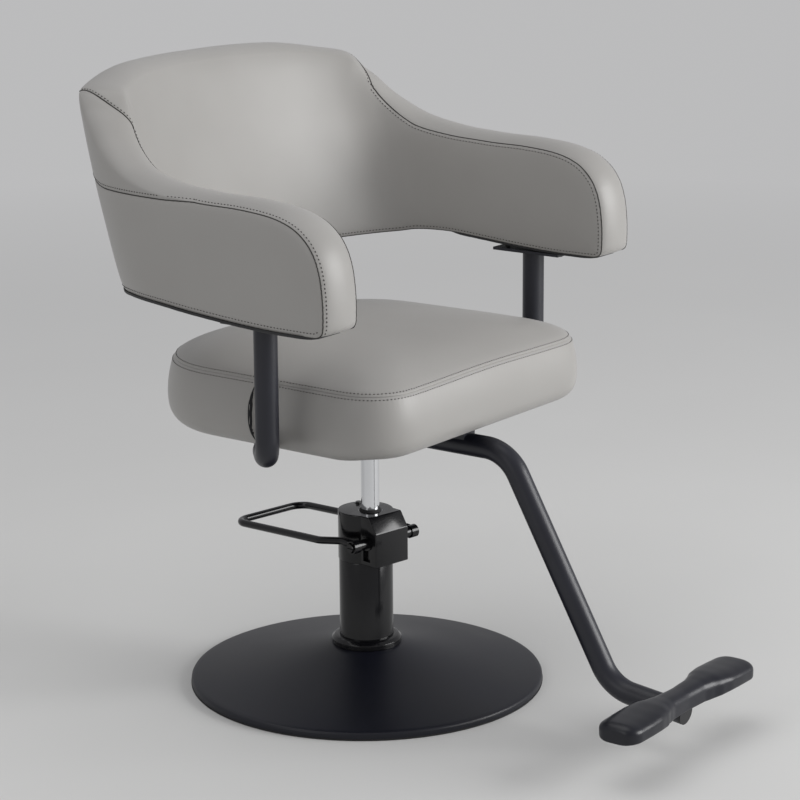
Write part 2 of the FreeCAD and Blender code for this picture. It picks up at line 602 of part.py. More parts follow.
# Footrest: bracket under the seat, bent tube and moulded cross bar.
top_z = size("rest_top_z")
rest_end = Vector(0, -size("rest_end_y"), size("rest_end_z"))
rest_knee = Vector(0, -410, 72)
end_dir = (rest_end - rest_knee).normalize()
rest_path = path("RestPath", [
    Vector(0, -108, top_z), Vector(0, -241, top_z), rest_knee, rest_end,
], [size("rest_bend"), size("rest_bend")])
forward = Vector(0, -1, 0)
rest_outer = swept("RestOuter", rest_path, "rest_r", forward)
rest_bore = swept("RestBore", rest_path, "rest_r - rest_wall", forward)
piece("footrest_tube", cut("RestTube", rest_outer, rest_bore))
rest_room = swept("RestRoom", rest_path, "rest_r + 0.1", forward)
bracket_spots = [(sx * 29, -142 + sy * 31) for sx in (-1, 1) for sy in (-1, 1)]
bracket_holes = [rod("BracketHole%d" % i, 4.2, 60, x, y, "seat_z - 30")
                 for i, (x, y) in enumerate(bracket_spots)]
bracket = cut("BracketCut", join(
    "BracketBody", block("BracketPlate", 78, 83, 5.7, -39, -184, "seat_z - 6"),
    block("BracketSaddle", 26, 74, 22, -13, -178, "seat_z - 24")),
    join("BracketTools", rest_room, *bracket_holes))
piece("footrest_bracket", bracket)
piece("footrest_bracket_bolts", *[
    join("BracketBolt%d" % i, rod("BracketShank%d" % i, 4, 19, x, y, "seat_z - 8"),
         nut("BracketHex%d" % i, 13, 5.3, x, y, "seat_z - 11.5"))
    for i, (x, y) in enumerate(bracket_spots)])
board_tools += bracket_holes
ovals = []
for i, (share, half_y, half_z) in enumerate((
        (-1, 24, 10), (-0.95, 29, 12.5), (-0.8, 31, 13.5), (-0.55, 28, 14), (-0.3, 19, 14.5),
        (0, 17, 14.5),
        (0.3, 19, 14.5), (0.55, 28, 14), (0.8, 31, 13.5), (0.95, 29, 12.5), (1, 24, 10))):
    oval = doc.addObject("Part::Ellipse", "BarOval%d" % i)
    oval.Placement = FreeCAD.Placement(Vector(), FreeCAD.Rotation(Vector(0, 1, 0), Vector(0, 0, 1),
                                                                 Vector(1, 0, 0), "XYZ"))
    bind(oval, MajorRadius=half_y, MinorRadius=half_z)
    at(oval, "bar_half * %.3f" % share, "0 - bar_y", "bar_z")
    ovals.append(oval)
bar_body = doc.addObject("Part::Loft", "BarBody")
bar_body.Sections = ovals
bar_body.Solid = True
cap_room = doc.addObject("Part::Cylinder", "CapRoom")
bind(cap_room, Radius="rest_r + 0.1", Height=60)
cap_room.Placement = FreeCAD.Placement(rest_end, FreeCAD.Rotation(Vector(0, 0, 1), end_dir))
piece("footrest_bar", cut("BarCut", bar_body, join("BarTools", rest_room, cap_room)))
plug = doc.addObject("Part::Cylinder", "EndPlug")
bind(plug, Radius="rest_r - rest_wall - 0.1", Height=14)
plug.Placement = FreeCAD.Placement(rest_end - end_dir * 12, FreeCAD.Rotation(Vector(0, 0, 1), end_dir))
cap = doc.addObject("Part::Cylinder", "EndCap")
bind(cap, Radius="rest_r", Height=4)
cap.Placement = FreeCAD.Placement(rest_end + end_dir * 0.1, FreeCAD.Rotation(Vector(0, 0, 1), end_dir))
piece("footrest_end_cap", join("EndPlugWhole", plug, cap))

drill = join("BoardTools", *board_tools)
piece("seat_board", cut("BoardDrilled", board, drill))
cover_block = drawn_out("CoverBlock", seat_plan("CoverPlan", "seat_z + 0.3", "board_inset"), "cover_t")
cover = softened("CoverRound", cover_block, size("seat_corner") - size("board_inset"),
                 upright_edges(cover_block, 1))
piece("dust_cover", cut("CoverDrilled", cover, drill))

doc.recompute()
problems = []
for obj in doc.Objects:
    if "Invalid" in obj.State or "Error" in obj.State:
        problems.append("%s %s" % (obj.Name, obj.State))
for obj in pieces:
    if obj.Shape.isNull() or not obj.Shape.isValid() or not obj.Shape.Solids:
        problems.append(obj.Label + " has no sound solid")
if problems:
    raise RuntimeError("; ".join(problems))
for obj in pieces:
    obj.Shape.exportStep("parts/%s.step" % obj.Label)
print("%d pieces" % len(pieces))
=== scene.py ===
import bpy
import bmesh
import json
import math
from mathutils import Vector, Matrix, kdtree, noise
from mathutils.geometry import delaunay_2d_cdt


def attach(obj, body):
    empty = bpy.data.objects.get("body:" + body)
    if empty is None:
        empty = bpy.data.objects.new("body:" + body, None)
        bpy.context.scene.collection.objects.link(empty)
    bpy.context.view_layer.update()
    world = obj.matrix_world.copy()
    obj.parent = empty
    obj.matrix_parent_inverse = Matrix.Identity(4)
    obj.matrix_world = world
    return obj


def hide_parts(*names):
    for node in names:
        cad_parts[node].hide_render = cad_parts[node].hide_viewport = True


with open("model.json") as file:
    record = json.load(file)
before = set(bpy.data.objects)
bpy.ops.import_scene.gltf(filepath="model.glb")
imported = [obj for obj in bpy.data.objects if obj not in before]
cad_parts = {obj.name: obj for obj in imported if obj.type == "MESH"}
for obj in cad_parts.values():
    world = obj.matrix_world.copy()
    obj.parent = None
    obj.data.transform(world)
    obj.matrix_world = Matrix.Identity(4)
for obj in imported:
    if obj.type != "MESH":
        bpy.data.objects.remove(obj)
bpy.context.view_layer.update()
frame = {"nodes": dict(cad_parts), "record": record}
print("frame loaded")

turnPump = Matrix.Rotation(math.radians(-10), 4, "Z")  # the pump stands turned a little to one side


def newMaterial(name):
    mat = bpy.data.materials.new(name)
    mat.use_nodes = True
    nodes = mat.node_tree.nodes
    shader = nodes["Principled BSDF"]
    coords = nodes.new("ShaderNodeTexCoord")
    return mat, mat.node_tree, shader, coords.outputs["Object"]


def addNode(tree, kind, **settings):
    node = tree.nodes.new(kind)
    for key, value in settings.items():
        if key.startswith("in_"):
            node.inputs[key[3:].replace("_", " ")].default_value = value
        else:
            setattr(node, key, value)
    return node


def colourRamp(tree, source, stops):
    ramp = tree.nodes.new("ShaderNodeValToRGB")
    while len(ramp.color_ramp.elements) < len(stops):
        ramp.color_ramp.elements.new(0.5)
    for element, (place, colour) in zip(ramp.color_ramp.elements, stops):
        element.position = place
        element.color = (*colour, 1)
    tree.links.new(source, ramp.inputs["Fac"])
    return ramp.outputs["Color"]


def bumpFrom(tree, height, strength, distance, before=None):
    bump = addNode(tree, "ShaderNodeBump", in_Strength=strength, in_Distance=distance)
    tree.links.new(height, bump.inputs["Height"])
    if before is not None:
        tree.links.new(before, bump.inputs["Normal"])
    return bump.outputs["Normal"]


def coatedMaterial(name, s):
    mat, tree, shader, coords = newMaterial(name)
    grain = addNode(tree, "ShaderNodeTexNoise", in_Scale=s["grain"], in_Detail=3.0)
    cloud = addNode(tree, "ShaderNodeTexNoise", in_Scale=s.get("cloud", 9.0), in_Detail=4.0)
    tree.links.new(coords, grain.inputs["Vector"])
    tree.links.new(coords, cloud.inputs["Vector"])
    tone = colourRamp(tree, cloud.outputs["Fac"], [(0.3, s["low"]), (0.7, s["high"])])
    tree.links.new(tone, shader.inputs["Base Color"])
    rough = addNode(tree, "ShaderNodeMapRange", in_To_Min=s["rough"][0], in_To_Max=s["rough"][1])
    tree.links.new(cloud.outputs["Fac"], rough.inputs["Value"])
    tree.links.new(rough.outputs["Result"], shader.inputs["Roughness"])
    skin = bumpFrom(tree, grain.outputs["Fac"], s.get("bump", 0.2), s.get("depth", 0.0003))
    tree.links.new(skin, shader.inputs["Normal"])
    shader.inputs["Metallic"].default_value = s.get("metal", 0.0)
    shader.inputs["Coat Weight"].default_value = s.get("coat", 0.0)
    shader.inputs["Coat Roughness"].default_value = s.get("coatRough", 0.1)
    shader.inputs["Specular IOR Level"].default_value = s.get("specular", 0.5)
    return mat


def leatherMaterial(name, s):
    mat, tree, shader, coords = newMaterial(name)
    pores = addNode(tree, "ShaderNodeTexVoronoi", in_Scale=s["pores"], feature="DISTANCE_TO_EDGE")
    fine = addNode(tree, "ShaderNodeTexNoise", in_Scale=s["fine"], in_Detail=6.0, in_Roughness=0.6)
    cloud = addNode(tree, "ShaderNodeTexNoise", in_Scale=5.0, in_Detail=3.0)
    for node in (pores, fine, cloud):
        tree.links.new(coords, node.inputs["Vector"])
    tone = colourRamp(tree, cloud.outputs["Fac"], [(0.3, s["low"]), (0.7, s["high"])])
    tree.links.new(tone, shader.inputs["Base Color"])
    rough = addNode(tree, "ShaderNodeMapRange", in_To_Min=s["rough"][0], in_To_Max=s["rough"][1])
    tree.links.new(fine.outputs["Fac"], rough.inputs["Value"])
    tree.links.new(rough.outputs["Result"], shader.inputs["Roughness"])
    first = bumpFrom(tree, pores.outputs["Distance"], 0.10, 0.0004)
    second = bumpFrom(tree, fine.outputs["Fac"], 0.12, 0.0003, first)
    tree.links.new(second, shader.inputs["Normal"])
    shader.inputs["Sheen Weight"].default_value = s.get("sheen", 0.1)
    shader.inputs["Sheen Roughness"].default_value = 0.5
    shader.inputs["Specular IOR Level"].default_value = s.get("specular", 0.42)
    return mat


def woodMaterial(name):
    mat, tree, shader, coords = newMaterial(name)
    wave = addNode(tree, "ShaderNodeTexWave", in_Scale=14.0, in_Distortion=4.0, in_Detail=3.0)
    tree.links.new(coords, wave.inputs["Vector"])
    tone = colourRamp(tree, wave.outputs["Fac"], [(0.2, (0.42, 0.28, 0.15)), (0.8, (0.60, 0.43, 0.26))])
    tree.links.new(tone, shader.inputs["Base Color"])
    shader.inputs["Roughness"].default_value = 0.7
    return mat


def liningMaterial(name):
    mat, tree, shader, coords = newMaterial(name)
    weave = addNode(tree, "ShaderNodeTexVoronoi", in_Scale=900.0)
    tree.links.new(coords, weave.inputs["Vector"])
    stops = [(0.0, (0.012, 0.012, 0.013)), (1.0, (0.03, 0.03, 0.032))]
    tone = colourRamp(tree, weave.outputs["Distance"], stops)
    tree.links.new(tone, shader.inputs["Base Color"])
    shader.inputs["Roughness"].default_value = 0.95
    return mat


materials = {
    "leatherette": leatherMaterial("leatherette", {
        "low": (0.322, 0.312, 0.298), "high": (0.342, 0.333, 0.319), "rough": (0.36, 0.48),
        "pores": 900.0, "fine": 420.0}),
    "satin_black": coatedMaterial("satinBlack", {
        "low": (0.009, 0.0095, 0.0155), "high": (0.013, 0.0138, 0.022), "rough": (0.34, 0.43),
        "grain": 1400.0, "bump": 0.25, "depth": 0.0002}),
    "baseBlack": coatedMaterial("baseBlack", {
        "low": (0.004, 0.0046, 0.009), "high": (0.006, 0.0068, 0.013), "rough": (0.36, 0.46),
        "grain": 1700.0, "bump": 0.3, "depth": 0.00015, "specular": 0.38}),
    "gloss_black": coatedMaterial("glossBlack", {
        "low": (0.003, 0.003, 0.004), "high": (0.005, 0.005, 0.006), "rough": (0.14, 0.2),
        "grain": 300.0, "bump": 0.03, "coat": 0.15, "specular": 0.32}),
    "chrome": coatedMaterial("chrome", {
        "low": (0.74, 0.75, 0.77), "high": (0.80, 0.81, 0.83), "rough": (0.06, 0.12),
        "grain": 700.0, "bump": 0.02, "metal": 1.0}),
    "bright_steel": coatedMaterial("brightSteel", {
        "low": (0.42, 0.42, 0.44), "high": (0.5, 0.5, 0.52), "rough": (0.25, 0.38),
        "grain": 500.0, "bump": 0.1, "metal": 1.0}),
    "zinc": coatedMaterial("zinc", {
        "low": (0.10, 0.10, 0.105), "high": (0.15, 0.15, 0.155), "rough": (0.3, 0.42),
        "grain": 600.0, "bump": 0.1, "metal": 1.0}),
    "rubber": coatedMaterial("rubber", {
        "low": (0.010, 0.010, 0.011), "high": (0.016, 0.016, 0.017), "rough": (0.7, 0.85),
        "grain": 900.0, "bump": 0.3}),
    "plastic": coatedMaterial("plastic", {
        "low": (0.012, 0.012, 0.013), "high": (0.018, 0.018, 0.020), "rough": (0.5, 0.6),
        "grain": 900.0, "bump": 0.2}),
    "moulding": coatedMaterial("moulding", {
        "low": (0.006, 0.0066, 0.011), "high": (0.009, 0.0098, 0.016), "rough": (0.28, 0.36),
        "grain": 1100.0, "bump": 0.3, "depth": 0.0002, "specular": 0.42}),
    "plywood": woodMaterial("plywood"),
    "lining": liningMaterial("lining"),
    "thread": coatedMaterial("thread", {
        "low": (0.030, 0.028, 0.025), "high": (0.045, 0.042, 0.038), "rough": (0.6, 0.8),
        "grain": 2500.0, "bump": 0.3}),
}
slotOf = {entry["node"]: entry["material_slot"] for entry in frame["record"]["subparts"]}
for nodeName, node in frame["nodes"].items():
    node.data.materials.clear()
    node.data.materials.append(materials[slotOf[nodeName]])
print("materials made")


def ease(t):  # soft step from 0 to 1
    t = min(1.0, max(0.0, t))
    return t * t * (3 - 2 * t)


def finishPiece(obj, material, body, nodes=(), smooth=True):
    obj.data.materials.clear()
    obj.data.materials.append(materials[material])
    if smooth:
        for face in obj.data.polygons:
            face.use_smooth = True
    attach(obj, body)
    if nodes:
        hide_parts(*nodes)
    return obj


def meshObject(name, verts, faces):
    mesh = bpy.data.meshes.new(name)
    mesh.from_pydata([tuple(v) for v in verts], [], faces)
    mesh.validate()
    obj = bpy.data.objects.new(name, mesh)
    bpy.context.scene.collection.objects.link(obj)
    return obj


def outwardNormals(obj):
    bm = bmesh.new()
    bm.from_mesh(obj.data)
    bmesh.ops.remove_doubles(bm, verts=bm.verts, dist=1e-6)
    bmesh.ops.recalc_face_normals(bm, faces=bm.faces)
    bm.to_mesh(obj.data)
    bm.free()
    return obj


def place(obj, matrix):
    obj.data.transform(matrix)
    return obj


def lathe(name, profile, centre=(0, 0), steps=144):  # profile of (radius, height) in millimetres
    verts = []
    faces = []
    count = len(profile)
    for i in range(steps):
        a = 2 * math.pi * i / steps
        for r, z in profile:
            verts.append(Vector((centre[0] + r * math.cos(a), centre[1] + r * math.sin(a), z)) / 1000)
    for i in range(steps):
        j = (i + 1) % steps
        for k in range(count):
            n = (k + 1) % count
            faces.append((i * count + k, j * count + k, j * count + n, i * count + n))
    return outwardNormals(meshObject(name, verts, faces))


def roundedProfile(points, radii, segments=5):  # one radius for all corners, or one for each
    out = []
    count = len(points)
    for i, p in enumerate(points):
        p = Vector(p)
        before = Vector(points[i - 1]) - p
        after = Vector(points[(i + 1) % count]) - p
        r = radii[i] if isinstance(radii, (list, tuple)) else radii
        if r <= 0:
            out.append(tuple(p))
            continue
        half = before.angle(after) / 2
        reach = min(r / math.tan(half), before.length * 0.49, after.length * 0.49)
        first = p + before.normalized() * reach
        last = p + after.normalized() * reach
        for k in range(segments + 1):
            t = k / segments
            out.append(tuple((1 - t) ** 2 * first + 2 * t * (1 - t) * p + t * t * last))
    return out


def bentPath(points, radii, step=4.0):  # straight runs joined by round bends, in millimetres
    points = [Vector(p) for p in points]
    out = [points[0]]
    for i in range(1, len(points) - 1):
        p = points[i]
        before = (points[i - 1] - p).normalized()
        after = (points[i + 1] - p).normalized()
        half = before.angle(after) / 2
        r = radii[i - 1]
        reach = r / math.tan(half)
        centre = p + (before + after).normalized() * (r / math.sin(half))
        first = p + before * reach - centre
        last = p + after * reach - centre
        sweep = first.angle(last)
        count = max(4, int(r * sweep / step))
        for k in range(count + 1):
            t = k / count
            arm = first * math.sin((1 - t) * sweep) + last * math.sin(t * sweep)
            out.append(centre + arm / math.sin(sweep))
    out.append(points[-1])
    fine = [out[0]]
    for a, b in zip(out, out[1:]):
        count = max(1, int((b - a).length / (step * 2.5)))
        for k in range(1, count + 1):
            fine.append(a.lerp(b, k / count))
    return fine


def tubeAlong(name, path, radius, sides=32, shape=None):  # shape(t) gives half width, half height, power
    verts = []
    faces = []
    path = [Vector(p) for p in path]
    lengths = [0.0]
    for a, b in zip(path, path[1:]):
        lengths.append(lengths[-1] + (b - a).length)
    total = lengths[-1]
    tangent = (path[1] - path[0]).normalized()
    side = tangent.orthogonal().normalized()
    if shape:
        side = Vector((-tangent.y, tangent.x, 0)) if abs(tangent.z) < 0.9 else side
    rings = 0
    for i, p in enumerate(path):
        ahead = path[min(i + 1, len(path) - 1)] - path[max(i - 1, 0)]
        fresh = ahead.normalized()
        side = tangent.rotation_difference(fresh) @ side
        side = (side - fresh * side.dot(fresh)).normalized()
        tangent = fresh
        up = tangent.cross(side)
        a, b, power = shape(lengths[i] / total) if shape else (radius, radius, 1.0)
        for k in range(sides):
            angle = 2 * math.pi * k / sides
            c, s = math.cos(angle), math.sin(angle)
            x = math.copysign(abs(c) ** power, c) * a
            y = math.copysign(abs(s) ** power, s) * b
            verts.append((p + side * x + up * y) / 1000)
        rings += 1
    for i in range(rings - 1):
        for k in range(sides):
            n = (k + 1) % sides
            faces.append((i * sides + k, i * sides + n, (i + 1) * sides + n, (i + 1) * sides + k))
    faces.append(tuple(range(sides)))
    faces.append(tuple(range((rings - 1) * sides, rings * sides)))
    return outwardNormals(meshObject(name, verts, faces))


def prism(name, outline, low, high, bevel, segments=3):  # block along x with rounded edges
    verts = [(level, a, b) for level in (low, high) for a, b in outline]
    count = len(outline)
    faces = [tuple(range(count)), tuple(range(count, 2 * count))]
    for i in range(count):
        n = (i + 1) % count
        faces.append((i, n, count + n, count + i))
    obj = outwardNormals(meshObject(name, [Vector(v) / 1000 for v in verts], faces))
    bm = bmesh.new()
    bm.from_mesh(obj.data)
    bmesh.ops.bevel(bm, geom=bm.edges[:], offset=bevel / 1000, segments=segments, profile=0.5, affect="EDGES")
    bm.to_mesh(obj.data)
    bm.free()
    return obj


def combine(obj, other, operation):
    mod = obj.modifiers.new("combine", "BOOLEAN")
    mod.operation = operation
    mod.object = other
    mod.solver = "EXACT"
    bpy.context.view_layer.objects.active = obj
    bpy.ops.object.modifier_apply(modifier=mod.name)
    bpy.data.objects.remove(other)


def sharpShade(obj, angle):  # smooth, but edges steeper than the angle stay crisp
    for face in obj.data.polygons:
        face.use_smooth = True
    obj.data.set_sharp_from_angle(angle=math.radians(angle))
    return obj


for node in frame["nodes"].values():
    sharpShade(node, 30)


baseSpec = {"edge": 250, "domeEdge": 246.5, "domeFoot": 11.0, "hub": 54.2, "hubRadius": 50, "hole": 38.4,
            "skin": 3, "flare": 0.22, "belly": 1.5}
dome = []
for i in range(41):
    t = i / 40
    r = baseSpec["hubRadius"] + (baseSpec["domeEdge"] - baseSpec["hubRadius"]) * t
    fall = (1 - baseSpec["flare"]) * (1 - t) + baseSpec["flare"] * (1 - t) ** 3
    z = baseSpec["domeFoot"] + (baseSpec["hub"] - baseSpec["domeFoot"]) * fall
    dome.append((r, z + baseSpec["belly"] * math.sin(math.pi * t) * t))
lip = [(-1.4, 10.0), (-0.3, 8.2), (0, 6.4), (0, 2.2), (-0.4, 1.9), (-2.6, 1.9), (-3.0, 2.3), (-3.0, 5.6),
       (-5.5, 8.0)]  # rim section, measured inwards from the edge
baseProfile = [(baseSpec["hole"], baseSpec["hub"]), *dome]
baseProfile += [(baseSpec["edge"] + r, z) for r, z in lip]
baseProfile += [(r, z - baseSpec["skin"]) for r, z in reversed(dome[:-1])]
baseProfile += [(baseSpec["hole"], baseSpec["hub"] - baseSpec["skin"])]
baseDisc = lathe("baseDisc", baseProfile, steps=256)
finishPiece(baseDisc, "baseBlack", "base", ["base_disc"])
sharpShade(baseDisc, 40)
ringProfile = [(242, 0), (250.6, 0), (250.6, 1.95), (246.9, 1.95), (246.9, 5), (242, 5)]
edgeRing = lathe("baseEdgeRing", roundedProfile(ringProfile, 0.4, 3), steps=256)
finishPiece(edgeRing, "rubber", "base", ["base_edge_ring"])
sharpShade(edgeRing, 40)
collarProfile = [(38.2, 54.3), (49.5, 54.3), (49.5, 62.0), (45.5, 66.0), (41.5, 67.0), (38.2, 67.0)]
collar = lathe("columnCollar", roundedProfile(collarProfile, [0, 0.8, 1.2, 1.5, 1.2, 0.3], 4))
finishPiece(collar, "gloss_black", "base", ["column_collar"])
sharpShade(collar, 40)
columnTube = lathe("columnTube", [(34.5, 4), (38, 4), (38, 178.6), (37.4, 179.8), (34.5, 179.8)])
finishPiece(columnTube, "gloss_black", "base", ["column_tube"])
sharpShade(columnTube, 40)

headSide = [(0, 180), (-54, 180), (-54, 229), (-40, 250), (0, 250)]
drumProfile = roundedProfile([(0.01, 180), (39.0, 180), (39.0, 250), (0.01, 250)], [0, 0.6, 1.4, 0], 4)
headDrum = lathe("headDrum", drumProfile, steps=128)
combine(headDrum, prism("headBlock", headSide, -31, 31, bevel=1.3), "UNION")


def tool(shape, size, where, axis="Z"):
    if shape == "rod":
        bpy.ops.mesh.primitive_cylinder_add(vertices=64, radius=size[0] / 1000, depth=size[1] / 1000)
    else:
        bpy.ops.mesh.primitive_cube_add(size=1)
        bpy.context.object.dimensions = [v / 1000 for v in size]
    obj = bpy.context.object
    turn = Matrix.Rotation(math.pi / 2, 4, "Y") if axis == "X" else Matrix()
    bpy.ops.object.transform_apply(location=False, rotation=False, scale=True)
    obj.data.transform(Matrix.Translation(Vector(where) / 1000) @ turn)
    return obj


for cutter in (("rod", (17.0, 130), (0, -10, 235)),  # ram bore
               ("rod", (9.9, 90), (0, -36, 213), "X"),  # pedal shaft bore
               ("box", (8, 14, 18), (-30, -35, 195)),  # side window
               ("rod", (5.6, 4), (11, 26, 250))):  # oil filler seat
    combine(headDrum, tool(*cutter), "DIFFERENCE")
pumpHead = place(headDrum, turnPump)
pumpHead.name = "pumpHead"
finishPiece(pumpHead, "gloss_black", "base", ["pump_head"])
sharpShade(pumpHead, 28)

pedalSpec = {"half": 64, "reach": 246, "droop": math.radians(3), "rod": 5.3, "axleY": -36, "axleZ": 213}


def onPedal(x, along, rise=0.0):
    y = pedalSpec["axleY"] + along * math.cos(pedalSpec["droop"])
    return Vector((x, y, pedalSpec["axleZ"] + rise - along * math.sin(pedalSpec["droop"])))


pedalSide = [(55, 6, 4), (55, 26, 5), (pedalSpec["half"], 62, 2), (pedalSpec["half"], pedalSpec["reach"], 0)]
pedalPoints = [onPedal(-x, along, rise) for x, along, rise in pedalSide]
pedalPoints += [onPedal(*spot) for spot in reversed(pedalSide)]
pedalPath = bentPath(pedalPoints, [20, 30, 22, 22, 30, 20], 2.0)
pedalLoop = place(tubeAlong("pedalLoop", pedalPath, pedalSpec["rod"], 24), turnPump)
finishPiece(pedalLoop, "gloss_black", "pedal", ["pedal_loop"])
print("base and pump built")

ramCentre = turnPump @ Vector((0, -10, 0))
ramProfile = [(0.01, 60), (12.9, 60), (12.9, 391), (11.9, 392), (0.01, 392)]
ram = lathe("ramRod", ramProfile, (ramCentre.x, ramCentre.y), 96)
finishPiece(ram, "chrome", "ram", ["piston_rod"])
sharpShade(ram, 40)

postSpec = {"x": 307, "y": -77, "foot": 400.5, "top": 578, "turn": math.radians(44), "radius": 15.5,
            "bend": 30, "round": 50, "flat": 120, "drop": 5.1}


def postShape(t, startFlat):  # round at first, then pressed flat where it is bolted under the seat
    u = ease((t - startFlat) / 0.13)
    return postSpec["radius"] + 2.5 * u, postSpec["radius"] - 11.0 * u, 1.0 - 0.45 * u


for side, sign in (("Left", -1), ("Right", 1)):
    inward = Vector((-sign * math.cos(postSpec["turn"]), math.sin(postSpec["turn"]), 0))
    foot = Vector((sign * postSpec["x"], postSpec["y"], postSpec["foot"]))
    head = Vector((foot.x, foot.y, postSpec["top"]))
    whole = bentPath([head, foot, foot + inward * postSpec["round"]], [postSpec["bend"]], 2.0)
    bendEnd = len(whole) - 1
    for k in range(1, 31):
        spot = foot + inward * (postSpec["round"] + k / 30 * postSpec["flat"])
        spot.z -= postSpec["drop"] * ease(k / 9)
        whole.append(spot)
    lengths = [0.0]
    for a, b in zip(whole, whole[1:]):
        lengths.append(lengths[-1] + (b - a).length)
    startFlat = lengths[bendEnd] / lengths[-1]
    post = tubeAlong("armTube" + side, whole, postSpec["radius"], 40, lambda t: postShape(t, startFlat))
    finishPiece(post, "satin_black", "seat", ["arm_tube_" + side.lower()])
    sharpShade(post, 50)

restPath = bentPath([(0, -112, 371), (0, -241, 371), (0, -410, 72), (0, -524, 59.6)], [60, 60], 3.0)
restTube = tubeAlong("footrestTube", restPath, 15.5, 48)
finishPiece(restTube, "satin_black", "seat", ["footrest_tube"])
sharpShade(restTube, 50)

barSpec = {"half": 160, "y": -512, "z": 78, "corner": 20, "lip": 13, "rows": [
    (0, 17, 14, -1), (38, 18.5, 14.5, -0.5), (55, 22, 15, 0), (72, 28, 14.5, 1.2), (92, 31, 13.5, 1.5),
    (115, 31.5, 13, 1), (138, 31, 12.8, 0.5), (160, 30, 12.5, 0)]}


def barAt(x):
    x = min(159.999, abs(x))
    for (x0, *p), (x1, *q) in zip(barSpec["rows"], barSpec["rows"][1:]):
        if x0 <= x < x1:
            t = (x - x0) / (x1 - x0)
            t = t * t * (3 - 2 * t) * 0.5 + t * 0.5
            return [u + (v - u) * t for u, v in zip(p, q)]


def barSection(x, share):
    halfY, halfZ, lift = barAt(x)
    over = max(0.0, abs(x) - barSpec["half"] + barSpec["corner"]) / barSpec["corner"]
    halfY -= barSpec["corner"] * 0.8 * (1 - math.sqrt(max(0.0, 1 - over * over)))
    over = max(0.0, abs(x) - barSpec["half"] + barSpec["lip"]) / barSpec["lip"]
    top = halfZ - barSpec["lip"] * 0.7 * (1 - math.sqrt(max(0.0, 1 - over * over)))
    a = 2 * math.pi * share
    c, s = math.cos(a), math.sin(a)
    y = math.copysign(abs(c) ** (0.72 if s > 0 else 0.25), c) * halfY
    z = abs(s) ** 0.88 * top if s > 0 else -abs(s) ** 0.3 * halfZ * 0.95
    return Vector((x, barSpec["y"] + y, barSpec["z"] + lift + z)) / 1000


barSides = 64
barSteps = 140
barVerts = [barSection(-160 * math.cos(math.pi * i / barSteps), k / barSides)
            for i in range(barSteps + 1) for k in range(barSides)]
barFaces = [tuple(range(barSides)), tuple(range(barSteps * barSides, (barSteps + 1) * barSides))]
for i in range(barSteps):
    for k in range(barSides):
        n = (k + 1) % barSides
        barFaces.append((i * barSides + k, i * barSides + n, (i + 1) * barSides + n, (i + 1) * barSides + k))
restBar = outwardNormals(meshObject("footrestBar", barVerts, barFaces))
finishPiece(restBar, "moulding", "seat", ["footrest_bar"])
sharpShade(restBar, 50)
print("metalwork built")


def smoothCurve(points, steps=24):
    points = [Vector(p) for p in points]
    ends = [points[0] * 2 - points[1]] + points + [points[-1] * 2 - points[-2]]
    out = []
    for i in range(1, len(ends) - 2):
        a, b, c, d = ends[i - 1:i + 3]
        for k in range(steps):
            t = k / steps
            square = (2 * a - 5 * b + 4 * c - d) * t * t
            cube = (3 * b - a - 3 * c + d) * t ** 3
            out.append(0.5 * (2 * b + (c - a) * t + square + cube))
    out.append(points[-1])
    return out


def resampled(points, step, closed=False):
    points = [Vector(p) for p in points]
    if closed:
        points = points + [points[0]]
    lengths = [0.0]
    for a, b in zip(points, points[1:]):
        lengths.append(lengths[-1] + (b - a).length)
    count = max(2, round(lengths[-1] / step))
    out = []
    j = 0
    for i in range(count if closed else count + 1):
        want = lengths[-1] * i / count
        while j < len(lengths) - 2 and lengths[j + 1] < want:
            j += 1
        span = lengths[j + 1] - lengths[j]
        out.append(points[j].lerp(points[j + 1], (want - lengths[j]) / span if span else 0))
    return out


def ripple(p, scale, seed):
    return noise.noise(Vector((p.x / scale, p.y / scale, p.z / scale)) + Vector((seed, seed * 2, 0)))


wrapSpec = {
    "plan": [(319.5, -260), (319.5, -200), (319.5, -140), (319.5, -60), (319, 10), (313, 72), (294, 127),
             (251, 169), (148, 205), (0, 216)],
    "lean": math.tan(math.radians(16)), "leanFoot": 595, "pad": 4.5,
    "armHalf": 35.0, "cornerHalf": 31.0, "backHalf": 28.0,
    "armCrown": 9.0, "backCrown": 15.0, "wingCrown": 6.0,
    "seamDip": 1.5, "seamWidth": 2.2, "rearEnd": 460.0, "rearTopInset": 9.3,
    "frontY": [(-156, 720), (-178, 706), (-193, 687), (-202, 662), (-206, 632), (-206.5, 606),
               (-205, 592), (-199, 586.3), (-188, 585), (-165, 585), (-120, 585.5), (-64, 588.5), (0, 593.5)],
    "wing": [(262, 847), (276, 842.5), (284, 834), (290, 823), (297, 812), (305, 802), (322, 781),
             (352, 756), (376, 746)],
    "top": [(0, 861), (60, 861), (130, 859), (185, 855.5), (230, 851)],
    "armTop": [(415, 739), (445, 736.5), (476, 734.5), (522, 733.5), (571, 729)],
    "underside": [(400, 597.5), (365, 598.5), (325, 598), (285, 595), (200, 594), (100, 594.5), (0, 594.5)],
}
planHalf = [Vector((x, y, 0)) for x, y in reversed(wrapSpec["plan"])]
planFull = [Vector((-p.x, p.y, 0)) for p in reversed(planHalf[1:])] + planHalf
planLine = resampled(smoothCurve(planFull, 30), 4.0)
for smoothing in range(60):  # evens out the bends
    middle = [(a + b * 2 + c) / 4 for a, b, c in zip(planLine, planLine[1:], planLine[2:])]
    planLine = [planLine[0]] + middle + [planLine[-1]]
planLength = [0.0]
for a, b in zip(planLine, planLine[1:]):
    planLength.append(planLength[-1] + (b - a).length)
planMiddle = planLength[-1] / 2
planSlope = []
